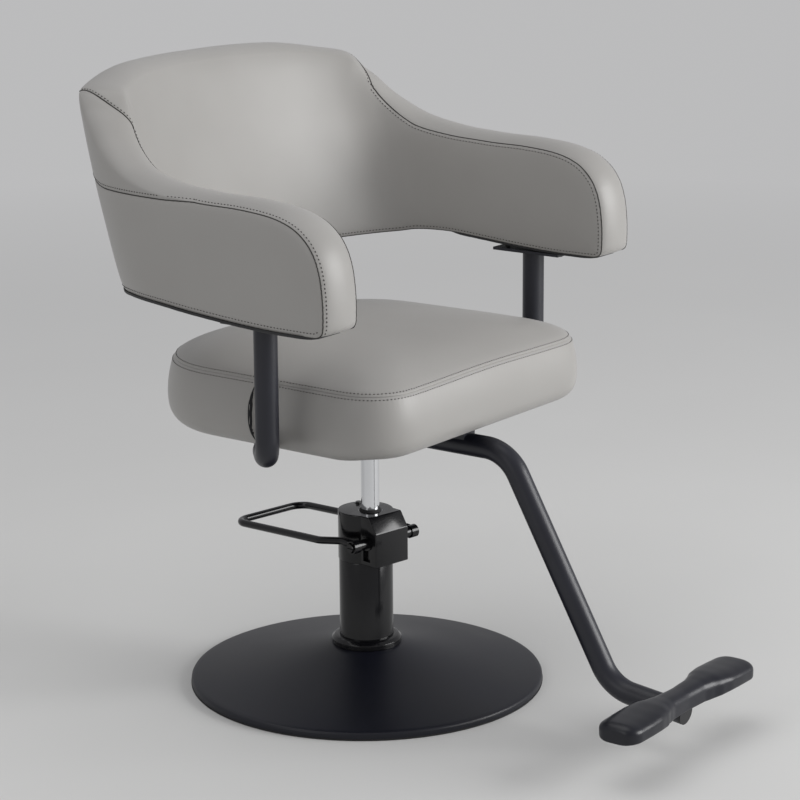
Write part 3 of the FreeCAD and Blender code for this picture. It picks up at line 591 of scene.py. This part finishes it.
for i in range(len(planLine)):
    low, high = max(0, i - 1), min(len(planLine) - 1, i + 1)
    planSlope.append((planLine[high] - planLine[low]).normalized())


def planAt(s):
    want = s + planMiddle
    low, high = 0, len(planLength) - 2
    while low < high:
        mid = (low + high + 1) // 2
        if planLength[mid] <= want:
            low = mid
        else:
            high = mid - 1
    t = (want - planLength[low]) / (planLength[low + 1] - planLength[low])
    along = planSlope[low].lerp(planSlope[low + 1], min(1.0, max(0.0, t))).normalized()
    return planLine[low].lerp(planLine[low + 1], t), Vector((-along.y, along.x, 0))


def wrapHalf(s):
    s = abs(s)
    if s < 300:
        return wrapSpec["backHalf"] + (wrapSpec["cornerHalf"] - wrapSpec["backHalf"]) * ease(s / 300)
    return wrapSpec["cornerHalf"] + (wrapSpec["armHalf"] - wrapSpec["cornerHalf"]) * ease((s - 300) / 130)


def wrapPoint(s, z, n):  # s along the plan, z up, n outwards, all in millimetres
    spot, outward = planAt(s)
    flat = spot + outward * n
    lean = wrapSpec["lean"] * (z - wrapSpec["leanFoot"]) * ease((spot.y + 70) / 210)
    return Vector((flat.x, flat.y + lean, z))


straightS = next(planLength[i] - planMiddle for i, p in enumerate(planLine) if p.x > 0 and p.y <= -60)


def sAtY(y):
    return straightS - 60 - y


halfSpots = wrapSpec["top"] + wrapSpec["wing"] + wrapSpec["armTop"]
halfSpots += [(sAtY(y), z) for y, z in wrapSpec["frontY"]] + wrapSpec["underside"]
halfLoop = smoothCurve([Vector((s, z, 0)) for s, z in halfSpots], 16)
outlineLoop = halfLoop + [Vector((-p.x, p.y, 0)) for p in reversed(halfLoop[1:-1])]
outlineLoop = resampled(outlineLoop, 2.8, closed=True)
loopCount = len(outlineLoop)


def loopNormal(i):
    along = (outlineLoop[(i + 2) % loopCount] - outlineLoop[i - 2]).normalized()
    return Vector((-along.y, along.x, 0))


if loopNormal(0).y < 0:
    outlineLoop.reverse()
loopTree = kdtree.KDTree(loopCount)
for i, p in enumerate(outlineLoop):
    loopTree.insert(p, i)
loopTree.balance()


def edgeDistance(p):
    spot, i, best = loopTree.find(p)
    for u, v in ((outlineLoop[i - 1], spot), (spot, outlineLoop[(i + 1) % loopCount])):
        line = v - u
        t = min(1.0, max(0.0, (p - u).dot(line) / line.length_squared))
        best = min(best, (p - (u + line * t)).length)
    return best


def backShare(s, z):  # 1 over the raised back, 0 along the arms
    return ease((z - 742) / 60) * ease((410 - abs(s)) / 60)


def rearSeam(s):  # height of the seam round the rear, above the arm band
    return 733.8 + 13 * ease((335 - abs(s)) / 100) + 1.8 * ease((abs(s) - 415) / 45)


def innerCrease(s, z):
    return 1 - ease((z - 795) / 16) * ease((340 - abs(s)) / 20)


def outerCrease(s, z):
    return 1 - ease((z - 700) / 20) * ease((wrapSpec["rearEnd"] + 8 - abs(s)) / 16)


def dipAt(gap):
    return wrapSpec["seamDip"] * math.exp(-gap / wrapSpec["seamWidth"])


def faceDepth(s, z, d, outside):
    full = wrapHalf(s) + wrapSpec["pad"] * (1 - math.exp(-d / 16))
    full += 0.8 * ripple(Vector((s, z, 40 if outside else 0)), 75, 3) * (1 - math.exp(-d / 25))
    pucker = 0.22 * math.sin((s + z) * 0.8 + 3 * ripple(Vector((s, z, 0)), 30, 5))
    crease = outerCrease(s, z) if outside else innerCrease(s, z)
    full -= crease * (dipAt(d) + pucker * math.exp(-d / 6))
    if outside and abs(s) < wrapSpec["rearEnd"] + 8:
        gap = abs(z - rearSeam(s))
        fade = ease((wrapSpec["rearEnd"] + 8 - abs(s)) / 14)
        full -= fade * (dipAt(gap) + pucker * math.exp(-gap / 6))
    if outside and abs(s) < 262 and z > 800:
        full -= dipAt(abs(d - wrapSpec["rearTopInset"])) * 0.8
    return full


crossingPaths = {}
for sign in (-1, 1):
    run = [i for i, p in enumerate(outlineLoop) if p.y > 800 and 240 < sign * p.x < 312]
    run.sort(key=lambda i: -sign * outlineLoop[i].x)
    reach = [0.0]
    for i, j in zip(run, run[1:]):
        reach.append(reach[-1] + (outlineLoop[j] - outlineLoop[i]).length)
    spots = [(i, -1 + 2 * (r / 62) ** 1.6) for i, r in zip(run, reach) if r <= 62]
    crossingPaths[sign] = {i: share for i, share in spots}


def stripLift(i, share):
    p = outlineLoop[i]
    normal = loopNormal(i)
    back = backShare(p.x, p.y)
    crown = wrapSpec["armCrown"]
    if p.y > 800:
        crown += (wrapSpec["backCrown"] - crown) * ease((275 - abs(p.x)) / 130)
    wing = ease((p.y - 725) / 30) * ease((835 - p.y) / 30) * ease((452 - abs(p.x)) / 90)
    crown += wrapSpec["wingCrown"] * wing
    crown *= 1 - 0.92 * ease(-normal.y / 0.9)
    soft = max(back, wing) if share > 0 else back
    return crown * max(0.0, 1 - share * share) ** (0.8 - 0.3 * soft)


def stripPoint(i, share, sink=0.0):
    p = outlineLoop[i]
    half = wrapHalf(p.x)
    dip = dipAt((1 + share) * half) * innerCrease(p.x, p.y)
    dip += dipAt((1 - share) * half) * outerCrease(p.x, p.y)
    crossing = crossingPaths[1 if p.x > 0 else -1].get(i)
    if crossing is not None:
        dip += dipAt(abs(share - crossing) * half * 0.8) * 0.9
    depth = faceDepth(p.x, p.y, 0.0, share > 0)
    spot = p + loopNormal(i) * (stripLift(i, share) - dip * (1 - abs(share) ** 40) - sink)
    return wrapPoint(spot.x, spot.y, share * depth)


def within(x, y, polygon):
    hit = False
    a = polygon[-1]
    for b in polygon:
        if (b[1] > y) != (a[1] > y) and x < (a[0] - b[0]) * (y - b[1]) / (a[1] - b[1]) + b[0]:
            hit = not hit
        a = b
    return hit


wrapVerts = []
wrapFaces = []
border = [Vector((p.x, p.y)) for p in outlineLoop]
borderEdges = [(i, (i + 1) % loopCount) for i in range(loopCount)]
polygon = [tuple(p) for p in border]
for outside in (False, True):
    inner = []
    for gap in (1.2, 2.6, 4.6, 7.5, 11.5, 16.5):
        for i in range(loopCount):
            p = outlineLoop[i] - loopNormal(i) * gap
            if within(p.x, p.y, polygon) and edgeDistance(p) > gap * 0.93:
                inner.append(p)
    spacing = 7.0
    for row in range(54):
        for column in range(-110, 111):
            p = Vector(((column + 0.5 * (row % 2)) * spacing, 560 + row * spacing * 0.866, 0))
            if within(p.x, p.y, polygon) and edgeDistance(p) > 18:
                if not outside or abs(p.y - rearSeam(p.x)) > 7 or abs(p.x) > wrapSpec["rearEnd"] + 10:
                    inner.append(p)
    if outside:
        for offset in (-5, -2.4, -1, 0, 1, 2.4, 5):
            for column in range(-160, 161):
                s = column * 2.9
                p = Vector((s, rearSeam(s) + offset, 0))
                if abs(s) < wrapSpec["rearEnd"] + 6 and edgeDistance(p) > 1.0 and within(p.x, p.y, polygon):
                    inner.append(p)
    result = delaunay_2d_cdt(border + [Vector((p.x, p.y)) for p in inner], borderEdges, [], 1, 0.02)
    start = len(wrapVerts)
    for q in result[0]:
        d = edgeDistance(Vector((q.x, q.y, 0)))
        n = faceDepth(q.x, q.y, d, outside)
        wrapVerts.append(wrapPoint(q.x, q.y, n if outside else -n))
    for face in result[2]:
        wrapFaces.append(tuple(start + v for v in face))
edgeRows = [1, 0.985, 0.96, 0.925, 0.88, 0.82, 0.75, 0.67]
midRows = [0.59 - 0.0738 * k for k in range(17)]
stripRows = [-v for v in edgeRows] + [-v for v in midRows] + list(reversed(edgeRows))
stripStart = len(wrapVerts)
rows = len(stripRows)
for i in range(loopCount):
    for share in stripRows:
        wrapVerts.append(stripPoint(i, share))
undersideFaces = set()
for i in range(loopCount):
    j = (i + 1) % loopCount
    under = loopNormal(i).y < -0.8 and outlineLoop[i].y < 610
    for k in range(rows - 1):
        a, b = stripStart + i * rows + k, stripStart + j * rows + k
        if under and 1 <= k < rows - 2:
            undersideFaces.add(len(wrapFaces))
        wrapFaces.append((a, b, b + 1, a + 1))
wrapObject = meshObject("backUpholstery", [v / 1000 for v in wrapVerts], wrapFaces)
finishPiece(wrapObject, "leatherette", "seat", ["back_upholstery"])
wrapObject.data.materials.append(materials["lining"])
for index in undersideFaces:
    wrapObject.data.polygons[index].material_index = 1
bm = bmesh.new()
bm.from_mesh(wrapObject.data)
bmesh.ops.remove_doubles(bm, verts=bm.verts, dist=0.00012)
bmesh.ops.recalc_face_normals(bm, faces=bm.faces)
bm.to_mesh(wrapObject.data)
bm.free()
print("wrap built", len(wrapObject.data.vertices))

undersideSpec = {"from": 172, "toY": -191, "thick": 3.2, "round": 26}
for side, sign in (("Left", -1), ("Right", 1)):
    lastS = sAtY(undersideSpec["toY"])
    stations = resampled([Vector((undersideSpec["from"], 0, 0)), Vector((lastS, 0, 0))], 5)
    verts = []
    faces = []
    for station in stations:
        s = station.x
        low = min((p.y for p in outlineLoop if abs(abs(p.x) - s) < 4 and p.y < 640), default=585)
        reach = min(1.0, (lastS - s) / undersideSpec["round"])
        inset = undersideSpec["round"] * (1 - math.sqrt(max(0.0, 1 - (1 - reach) ** 2))) * 0.5
        thick = undersideSpec["thick"] * ease((s - undersideSpec["from"]) / 60 + 0.1)
        innerN = -wrapHalf(s) + 1 + inset + 26 * ease((sAtY(35) - s) / 60)
        outerN = wrapHalf(s) + 1.5 - inset
        for n, z in ((innerN, low + 0.4), (innerN, low - thick + 1), (innerN + 1, low - thick),
                     (outerN - 1, low - thick), (outerN, low - thick + 1), (outerN, low + 0.4)):
            verts.append(wrapPoint(s * sign, z, n) / 1000)
    for k in range(len(stations) - 1):
        for m in range(6):
            a, b = k * 6 + m, k * 6 + (m + 1) % 6
            faces.append((a, b, b + 6, a + 6))
    faces.append(tuple(range(6)))
    faces.append(tuple(range(len(verts) - 6, len(verts))))
    panel = outwardNormals(meshObject("armUnderPanel" + side, verts, faces))
    finishPiece(panel, "plastic", "seat", ["arm_strip_" + side.lower()], smooth=False)

coreSpec = {"x": 319.5, "y": -79, "bottom": 594.6, "top": 602.3, "wide": 44, "long": 156}
for side, sign in (("Left", -1), ("Right", 1)):
    height = coreSpec["top"] - coreSpec["bottom"]
    core = tool("box", (coreSpec["wide"], coreSpec["long"], height),
                (sign * coreSpec["x"], coreSpec["y"], coreSpec["bottom"] + height / 2))
    core.name = "armCore" + side
    finishPiece(core, "plywood", "seat", ["arm_core_" + side.lower()], smooth=False)
print("under panels built")

seatSpec = {
    "corners": [(-244, -214), (244, -214), (238, 212), (-238, 212)], "radii": [64, 64, 132, 132],
    "floor": 398, "seam": 484, "crown": 32, "swell": 3.4, "bulge": 9, "round": 23, "middleReach": 226,
    "arcY": -9, "arcBow": 12, "arcMiddle": 440, "arcHalf": 44, "dentLong": 96, "dentDeep": 8,
}


def arcProfile(points, radii, segments=24):
    out = []
    count = len(points)
    for i, p in enumerate(points):
        p = Vector(p)
        before = (Vector(points[i - 1]) - p).normalized()
        after = (Vector(points[(i + 1) % count]) - p).normalized()
        half = before.angle(after) / 2
        centre = p + (before + after).normalized() * (radii[i] / math.sin(half))
        first = p + before * (radii[i] / math.tan(half)) - centre
        last = p + after * (radii[i] / math.tan(half)) - centre
        sweep = first.angle(last)
        for k in range(segments + 1):
            t = k / segments
            spot = (first * math.sin((1 - t) * sweep) + last * math.sin(t * sweep)) / math.sin(sweep)
            out.append(centre + spot)
    return out


seatLoop = [Vector((p.x, p.y, 0)) for p in arcProfile(seatSpec["corners"], seatSpec["radii"])]
seatLoop = resampled(seatLoop, 2.5, closed=True)
for smoothing in range(40):
    ring = list(zip(seatLoop[-1:] + seatLoop[:-1], seatLoop, seatLoop[1:] + seatLoop[:1]))
    seatLoop = [(a + b * 2 + c) / 4 for a, b, c in ring]
seatCount = len(seatLoop)
seatHeight = seatSpec["seam"] - seatSpec["floor"]


def seatNormal(i):
    along = (seatLoop[(i + 3) % seatCount] - seatLoop[i - 3]).normalized()
    return Vector((along.y, -along.x, 0))


def arcLine(z):  # front edge of the dent where the arm tube stands
    t = (z - seatSpec["arcMiddle"]) / seatSpec["arcHalf"]
    return seatSpec["arcY"] + seatSpec["arcBow"] * (1 - t * t)


def dent(p, z):
    run = (arcLine(z) - p.y) / seatSpec["dentLong"]
    if abs(p.x) < 150 or not 0 < run < 1:
        return 0.0
    return ease(run * 14) * (1 - ease(run)) * ease((490 - z) / 26) * ease((z - 392) / 26)


def sag(p):  # how far the padding hangs below the seat board
    return 6 * ease((abs(p.x) - 165) / 60) * ease((p.y + 195) / 70)


def frontRise(p):  # the middle of the front edge stands a little higher
    return 3.0 * math.exp(-(p.x / 110) ** 2) * ease(-(p.y + 120) / 60)


def seatPucker(i, gap):
    wave = math.sin(i * 2.1 + 2 * ripple(seatLoop[i], 30, 4))
    return 0.26 * math.exp(-gap / 7) * wave


def underPoint(i, share):
    spot = seatLoop[i] - seatNormal(i) * seatSpec["round"] * 0.9
    z = seatSpec["floor"] - sag(seatLoop[i]) * ease((share - 0.5) / 0.5)
    return Vector((spot.x * share, spot.y * share, z))


def sidePoint(i, up):
    p, normal, r = seatLoop[i], seatNormal(i), seatSpec["round"]
    t = up / seatHeight
    out = seatSpec["bulge"] * math.sin(math.pi * min(1.0, t * 0.95 + 0.05)) ** 0.8
    if up < r:
        out -= r * (1 - math.sqrt(max(0.0, 1 - (1 - up / r) ** 2))) * 0.9
    out += seatPucker(i, seatHeight - up) - dipAt(seatHeight - up)
    out += 1.2 * ripple(Vector((p.x, p.y, up)), 80, 7) * math.sin(math.pi * t)
    z = seatSpec["floor"] + up + frontRise(p) * t - sag(p) * (1 - t) ** 2
    out -= seatSpec["dentDeep"] * dent(p, z)
    return Vector((p.x + normal.x * out, p.y + normal.y * out, z))


def domePoint(i, gap):
    p = seatLoop[i]
    t = gap / seatSpec["middleReach"]
    near = p - seatNormal(i) * gap
    spot = near.lerp(p * (1 - t), ease(gap / 60))
    z = seatSpec["seam"] + seatSpec["crown"] * (1 - (1 - t) ** 4.2) - dipAt(gap)
    z += seatSpec["swell"] * (1 - math.exp(-gap / 5)) + seatPucker(i, gap)
    z += 1.4 * ripple(spot, 120, 11) * (1 - math.exp(-gap / 40))
    z += frontRise(p) * math.exp(-gap / 60)
    return Vector((spot.x, spot.y, z))


underShares = [0.28 + 0.12 * k for k in range(7)]
sideLevels = [0, 1.5, 3.5, 6, 9, 12.5, 16.5, 21, 26] + [26 + (seatHeight - 34) * k / 22 for k in range(1, 23)]
sideLevels += [seatHeight - gap for gap in (5.5, 3.4, 1.8, 0.8, 0)]
domeSteps = [0.8, 1.8, 3.4, 5.5, 8, 11, 15, 20, 26, 33, 41, 50, 60, 72, 86, 102, 120, 140, 160, 180, 198, 212]
seatRows = [(underPoint, share) for share in underShares] + [(sidePoint, up) for up in sideLevels]
seatRows += [(domePoint, gap) for gap in domeSteps]
seatVerts = [maker(i, value) for maker, value in seatRows for i in range(seatCount)]
seatFaces = []
for row in range(len(seatRows) - 1):
    for i in range(seatCount):
        a, b = row * seatCount + i, row * seatCount + (i + 1) % seatCount
        seatFaces.append((a, b, b + seatCount, a + seatCount))
topCentre = seatSpec["seam"] + seatSpec["crown"] + seatSpec["swell"]
topCentre += 1.4 * ripple(Vector((0, 0, 0)), 120, 11)
seatVerts += [Vector((0, 0, seatSpec["floor"])), Vector((0, 0, topCentre))]
lastRow = (len(seatRows) - 1) * seatCount
for i in range(seatCount):
    j = (i + 1) % seatCount
    seatFaces.append((len(seatVerts) - 2, j, i))
    seatFaces.append((len(seatVerts) - 1, lastRow + i, lastRow + j))
seatObject = outwardNormals(meshObject("seatCushion", [v / 1000 for v in seatVerts], seatFaces))
finishPiece(seatObject, "leatherette", "seat", ["seat_cushion"])
seatObject.data.materials.append(materials["lining"])
for face in seatObject.data.polygons:  # the underside is lined in black
    middle = face.center.z < 0.4 and max(abs(face.center.x), abs(face.center.y)) < 0.1
    if middle or face.index < (len(underShares) - 1) * seatCount:
        face.material_index = 1


def sideAt(sign, y, up):  # spot and normal on the seat side at any y
    side = [i for i in range(seatCount) if sign * seatLoop[i].x > 200 and abs(seatLoop[i].y) < 150]
    i, j = sorted(side, key=lambda i: abs(seatLoop[i].y - y))[:2]
    t = (y - seatLoop[i].y) / (seatLoop[j].y - seatLoop[i].y)
    return sidePoint(i, up).lerp(sidePoint(j, up), t), seatNormal(i)


# a thin dark strip laid along the front edge of the dent: painted shade for the shadowed rear wall of the
# recess
recessSpec = {"steps": 40, "reach": 40, "tip": 0.4, "wide": 5.2,
              "section": [(0, -0.4), (0.3, 0.5), (0.7, 0.5), (1, -0.4), (0.5, -1.2)]}
recessVerts = []
recessFaces = []
for sign in (-1, 1):
    start = len(recessVerts)
    for k in range(recessSpec["steps"] + 1):
        t = 2 * k / recessSpec["steps"] - 1
        z = seatSpec["arcMiddle"] + recessSpec["reach"] * t
        wide = recessSpec["tip"] + recessSpec["wide"] * max(0.0, 1 - t * t) ** 0.8
        for part, rise in recessSpec["section"]:
            spot, normal = sideAt(sign, arcLine(z) + 1 - wide * part, z - seatSpec["floor"])
            recessVerts.append((spot + normal * rise) / 1000)
    for k in range(recessSpec["steps"]):
        for m in range(5):
            a, b = start + k * 5 + m, start + k * 5 + (m + 1) % 5
            recessFaces.append((a, b, b + 5, a + 5))
    recessFaces.append(tuple(range(start, start + 5)))
    recessFaces.append(tuple(range(len(recessVerts) - 5, len(recessVerts))))
recessPaintedShade = outwardNormals(meshObject("seatRecessPaintedShade", recessVerts, recessFaces))
# the black lining colour on this strip is painted shade
finishPiece(recessPaintedShade, "lining", "seat")
print("seat built", len(seatObject.data.vertices))


def stitchGroup():
    group = bpy.data.node_groups.new("stitchRow", "GeometryNodeTree")
    group.interface.new_socket("Geometry", in_out="INPUT", socket_type="NodeSocketGeometry")
    for socket, value in (("Pitch", 0.0046), ("Length", 0.0031), ("Thickness", 0.0013)):
        item = group.interface.new_socket(socket, in_out="INPUT", socket_type="NodeSocketFloat")
        item.default_value = value
    group.interface.new_socket("Thread", in_out="INPUT", socket_type="NodeSocketMaterial")
    group.interface.new_socket("Geometry", in_out="OUTPUT", socket_type="NodeSocketGeometry")
    nodes = group.nodes
    source = nodes.new("NodeGroupInput")
    target = nodes.new("NodeGroupOutput")
    resample = nodes.new("GeometryNodeResampleCurve")
    resample.mode = "LENGTH"
    tangent = nodes.new("GeometryNodeInputTangent")
    align = nodes.new("FunctionNodeAlignEulerToVector")
    align.axis = "X"
    bead = nodes.new("GeometryNodeMeshIcoSphere")
    bead.inputs["Radius"].default_value = 0.5
    bead.inputs["Subdivisions"].default_value = 1
    size = nodes.new("ShaderNodeCombineXYZ")
    onPoints = nodes.new("GeometryNodeInstanceOnPoints")
    realize = nodes.new("GeometryNodeRealizeInstances")
    paint = nodes.new("GeometryNodeSetMaterial")
    for a, b in (
            (source.outputs["Geometry"], resample.inputs["Curve"]),
            (source.outputs["Pitch"], resample.inputs["Length"]),
            (tangent.outputs["Tangent"], align.inputs["Vector"]),
            (resample.outputs["Curve"], onPoints.inputs["Points"]),
            (bead.outputs["Mesh"], onPoints.inputs["Instance"]),
            (align.outputs["Rotation"], onPoints.inputs["Rotation"]),
            (source.outputs["Length"], size.inputs["X"]),
            (source.outputs["Thickness"], size.inputs["Y"]),
            (source.outputs["Thickness"], size.inputs["Z"]),
            (size.outputs["Vector"], onPoints.inputs["Scale"]),
            (onPoints.outputs["Instances"], realize.inputs["Geometry"]),
            (realize.outputs["Geometry"], paint.inputs["Geometry"]),
            (source.outputs["Thread"], paint.inputs["Material"]),
            (paint.outputs["Geometry"], target.inputs["Geometry"])):
        group.links.new(a, b)
    return group


stitches = stitchGroup()


def curveObject(name, lines):
    data = bpy.data.curves.new(name, "CURVE")
    data.dimensions = "3D"
    for line, closed in lines:
        spline = data.splines.new("POLY")
        spline.points.add(len(line) - 1)
        for point, p in zip(spline.points, line):
            point.co = (p.x / 1000, p.y / 1000, p.z / 1000, 1)
        spline.use_cyclic_u = closed
    obj = bpy.data.objects.new(name, data)
    bpy.context.scene.collection.objects.link(obj)
    return obj


def meshFromCarrier(name, carrier):
    bpy.context.view_layer.update()
    mesh = bpy.data.meshes.new_from_object(carrier.evaluated_get(bpy.context.evaluated_depsgraph_get()))
    bpy.data.objects.remove(carrier)
    obj = bpy.data.objects.new(name, mesh)
    bpy.context.scene.collection.objects.link(obj)
    return finishPiece(obj, "thread", "seat")


def sewn(name, lines, settings):
    carrier = curveObject(name + "Line", lines)
    mod = carrier.modifiers.new("stitches", "NODES")
    mod.node_group = stitches
    values = dict(settings, Thread=materials["thread"])
    for item in stitches.interface.items_tree:
        if item.in_out == "INPUT" and item.name in values:
            mod[item.identifier] = values[item.name]
    return meshFromCarrier(name, carrier)


def seamCord(name, lines, radius):
    carrier = curveObject(name + "Line", lines)
    carrier.data.bevel_depth = radius
    carrier.data.bevel_resolution = 1
    return meshFromCarrier(name, carrier)


seatAbove = [domePoint(i, 3.6) + Vector((0, 0, 0.15)) for i in range(seatCount)]
seatBelow = [sidePoint(i, seatHeight - 3.4) + seatNormal(i) * 0.15 for i in range(seatCount)]
threadSpec = {"Pitch": 0.0052, "Length": 0.0030, "Thickness": 0.0015}  # metres
sewn("seatStitches", [(seatAbove, True), (seatBelow, True)], threadSpec)


def faceLine(spots, outside, rise=0.1):  # a line laid on the inner or outer face
    line = []
    for p in spots:
        n = faceDepth(p.x, p.y, edgeDistance(p), outside) + rise
        line.append(wrapPoint(p.x, p.y, n if outside else -n))
    return line


def runsWhere(keep):  # unbroken stretches of the outline, round the loop
    start = next(i for i in range(loopCount) if not keep(outlineLoop[i]))
    runs = []
    current = []
    for k in range(1, loopCount + 1):
        i = (start + k) % loopCount
        if keep(outlineLoop[i]):
            current.append(i)
            continue
        if len(current) > 4:
            runs.append(current)
        current = []
    return runs


def unbroken(run, keep):  # splits a stretch where keep fails
    parts = [[]]
    for i in run:
        if keep(i):
            parts[-1].append(i)
        elif parts[-1]:
            parts.append([])
    return [part for part in parts if part]


def isInner(p):
    return not (p.y > 803 and abs(p.x) < 312)


def isOuter(p):
    return not (p.y > 700 and abs(p.x) < wrapSpec["rearEnd"] - 3)


def edgeShare(i, gap, outside):
    return (1 - gap / wrapHalf(outlineLoop[i].x)) * (1 if outside else -1)


stitchGap = 4.4  # from seam to stitches
lines = []
cords = []
for run in runsWhere(isInner):
    cords.append(([stripPoint(i, -0.995, 0.1) for i in run], False))
    lines.append((faceLine([outlineLoop[i] - loopNormal(i) * stitchGap for i in run], False), False))
for run in runsWhere(isOuter):
    cords.append(([stripPoint(i, 0.995, 0.1) for i in run], False))
    for part in unbroken(run, lambda i: outlineLoop[i].y > 590):
        lines.append(([stripPoint(i, edgeShare(i, stitchGap, True), -0.1) for i in part], False))
    lower = [i for i in run if outlineLoop[i].y < 610 and loopNormal(i).y < -0.5]
    lines.append((faceLine([outlineLoop[i] - loopNormal(i) * 6.0 for i in lower], True), False))
rear = [Vector((s, rearSeam(s), 0)) for s in [wrapSpec["rearEnd"] * k / 200 for k in range(-200, 201)]]
cords.append((faceLine(rear, True, 0.1), False))
above = [p + Vector((0, 4.6, 0)) for p in rear]
above = [p for p in above if within(p.x, p.y, polygon) and edgeDistance(p) > 1.0]
lines.append((faceLine(above, True), False))
for sign in (-1, 1):
    run = [i for i in range(loopCount) if outlineLoop[i].y > 700 and 422 < sign * outlineLoop[i].x < 458]
    run.sort(key=lambda i: sign * outlineLoop[i].x)
    insets = [4.6 - outlineLoop[i].y + rearSeam(outlineLoop[i].x) for i in run]
    spots = [stripPoint(i, edgeShare(i, gap, True), -0.1) for i, gap in zip(run, insets) if gap > 0.6]
    lines.append((spots, False))
topRun = [i for i in range(loopCount) if outlineLoop[i].y > 801 and abs(outlineLoop[i].x) < 262]
topRun.sort(key=lambda i: outlineLoop[i].x)


def topInset(i):
    return wrapSpec["rearTopInset"] * ease((262 - abs(outlineLoop[i].x)) / 30)


topSeam = [outlineLoop[i] - loopNormal(i) * topInset(i) for i in topRun]
topStitches = [outlineLoop[i] - loopNormal(i) * max(0, topInset(i) - stitchGap) for i in topRun]
cords.append((faceLine(topSeam, True), False))
lines.append((faceLine(topStitches, True), False))
for sign in (-1, 1):
    steps = list(crossingPaths[sign].items())
    cords.append(([stripPoint(i, max(-0.99, min(0.99, share)), -0.7) for i, share in steps], False))
    beside = [(i, share - stitchGap / wrapHalf(outlineLoop[i].x)) for i, share in steps]
    lines.append(([stripPoint(i, max(-0.99, min(0.97, share)), -0.1) for i, share in beside], False))
sewn("wrapStitches", lines, threadSpec)
seamCord("wrapSeams", cords, 0.0009)
print("stitches made")


def floorMaterial(s):
    mat, tree, shader, coords = newMaterial("floor")
    cloud = addNode(tree, "ShaderNodeTexNoise", in_Scale=1.5, in_Detail=3.0)
    tree.links.new(coords, cloud.inputs["Vector"])
    tone = colourRamp(tree, cloud.outputs["Fac"], [(0.3, s["low"]), (0.7, s["high"])])
    tree.links.new(tone, shader.inputs["Base Color"])
    shader.inputs["Roughness"].default_value = 0.8
    shader.inputs["Specular IOR Level"].default_value = 0.05
    far = addNode(tree, "ShaderNodeVectorMath", operation="LENGTH")
    tree.links.new(coords, far.inputs[0])
    share = addNode(tree, "ShaderNodeMapRange", in_From_Min=s["near"], in_From_Max=s["far"])
    tree.links.new(far.outputs["Value"], share.inputs["Value"])
    light = addNode(tree, "ShaderNodeLightPath")
    seen = addNode(tree, "ShaderNodeMath", operation="MAXIMUM")
    tree.links.new(light.outputs["Is Camera Ray"], seen.inputs[0])
    tree.links.new(light.outputs["Is Glossy Ray"], seen.inputs[1])
    factor = addNode(tree, "ShaderNodeMath", operation="MULTIPLY")
    tree.links.new(share.outputs["Result"], factor.inputs[0])
    tree.links.new(seen.outputs["Value"], factor.inputs[1])
    glow = addNode(tree, "ShaderNodeEmission", in_Color=(*s["backdrop"], 1))
    mixed = tree.nodes.new("ShaderNodeMixShader")
    tree.links.new(factor.outputs["Value"], mixed.inputs["Fac"])
    tree.links.new(shader.outputs["BSDF"], mixed.inputs[1])
    tree.links.new(glow.outputs["Emission"], mixed.inputs[2])
    tree.links.new(mixed.outputs["Shader"], tree.nodes["Material Output"].inputs["Surface"])
    return mat


bpy.ops.mesh.primitive_plane_add(size=80)
floor = bpy.context.object
floor.name = "floor"
floor.location = (0, 0, -0.0005)
floor.data.materials.append(floorMaterial({
    "low": (0.66, 0.66, 0.65), "high": (0.68, 0.68, 0.67), "near": 0.9, "far": 4.5,
    "backdrop": (0.50, 0.50, 0.505)}))


def areaLight(name, where, aim, size, power, colour=(1, 1, 1)):
    data = bpy.data.lights.new(name, "AREA")
    data.shape = "RECTANGLE"
    data.size, data.size_y = size
    data.energy = power
    data.color = colour
    lamp = bpy.data.objects.new(name, data)
    bpy.context.scene.collection.objects.link(lamp)
    lamp.location = where
    lamp.rotation_euler = (Vector(aim) - Vector(where)).to_track_quat("-Z", "Y").to_euler()
    return lamp


areaLight("keySoft", (2.2, -4.2, 1.75), (0, 0, 0.55), (3.2, 2.5), 205)
areaLight("topSoft", (-0.6, 0.6, 3.2), (0, 0, 0.3), (2.6, 2.6), 22)
areaLight("sideSoft", (-3.6, 0.4, 1.9), (0, 0, 0.5), (1.6, 2.0), 13)

world = bpy.data.worlds.new("studio")
bpy.context.scene.world = world
world.use_nodes = True
worldTree = world.node_tree
background = worldTree.nodes["Background"]
path = worldTree.nodes.new("ShaderNodeLightPath")
mixed = worldTree.nodes.new("ShaderNodeMix")
mixed.data_type = "RGBA"
mixed.inputs["A"].default_value = (0.42, 0.42, 0.43, 1)
mixed.inputs["B"].default_value = (0.34, 0.34, 0.37, 1)
worldTree.links.new(path.outputs["Is Camera Ray"], mixed.inputs["Factor"])
worldTree.links.new(mixed.outputs["Result"], background.inputs["Color"])
background.inputs["Strength"].default_value = 1.0

cameraSpec = {"azimuth": math.radians(-53.5), "rise": math.radians(14.03), "roll": math.radians(0.37),
              "right": -49.5, "up": -394.8, "distance": 3718.0, "lens": 117}
a, e = cameraSpec["azimuth"], cameraSpec["rise"]
right = Vector((math.cos(a), math.sin(a), 0))
forward = Vector((-math.sin(a) * math.cos(e), math.cos(a) * math.cos(e), -math.sin(e)))
above = right.cross(forward)
cameraData = bpy.data.cameras.new("mainCamera")
cameraData.sensor_width = 36
cameraData.lens = cameraSpec["lens"]
cameraData.clip_end = 60
camera = bpy.data.objects.new("mainCamera", cameraData)
bpy.context.scene.collection.objects.link(camera)
turn = Matrix((right, above, -forward)).transposed().to_4x4() @ Matrix.Rotation(-cameraSpec["roll"], 4, "Z")
spot = (-right * cameraSpec["right"] - above * cameraSpec["up"] - forward * cameraSpec["distance"]) / 1000
camera.matrix_world = Matrix.Translation(spot) @ turn
bpy.context.scene.camera = camera
bpy.context.scene.view_settings.view_transform = "Standard"
print("floor, lights and camera set")
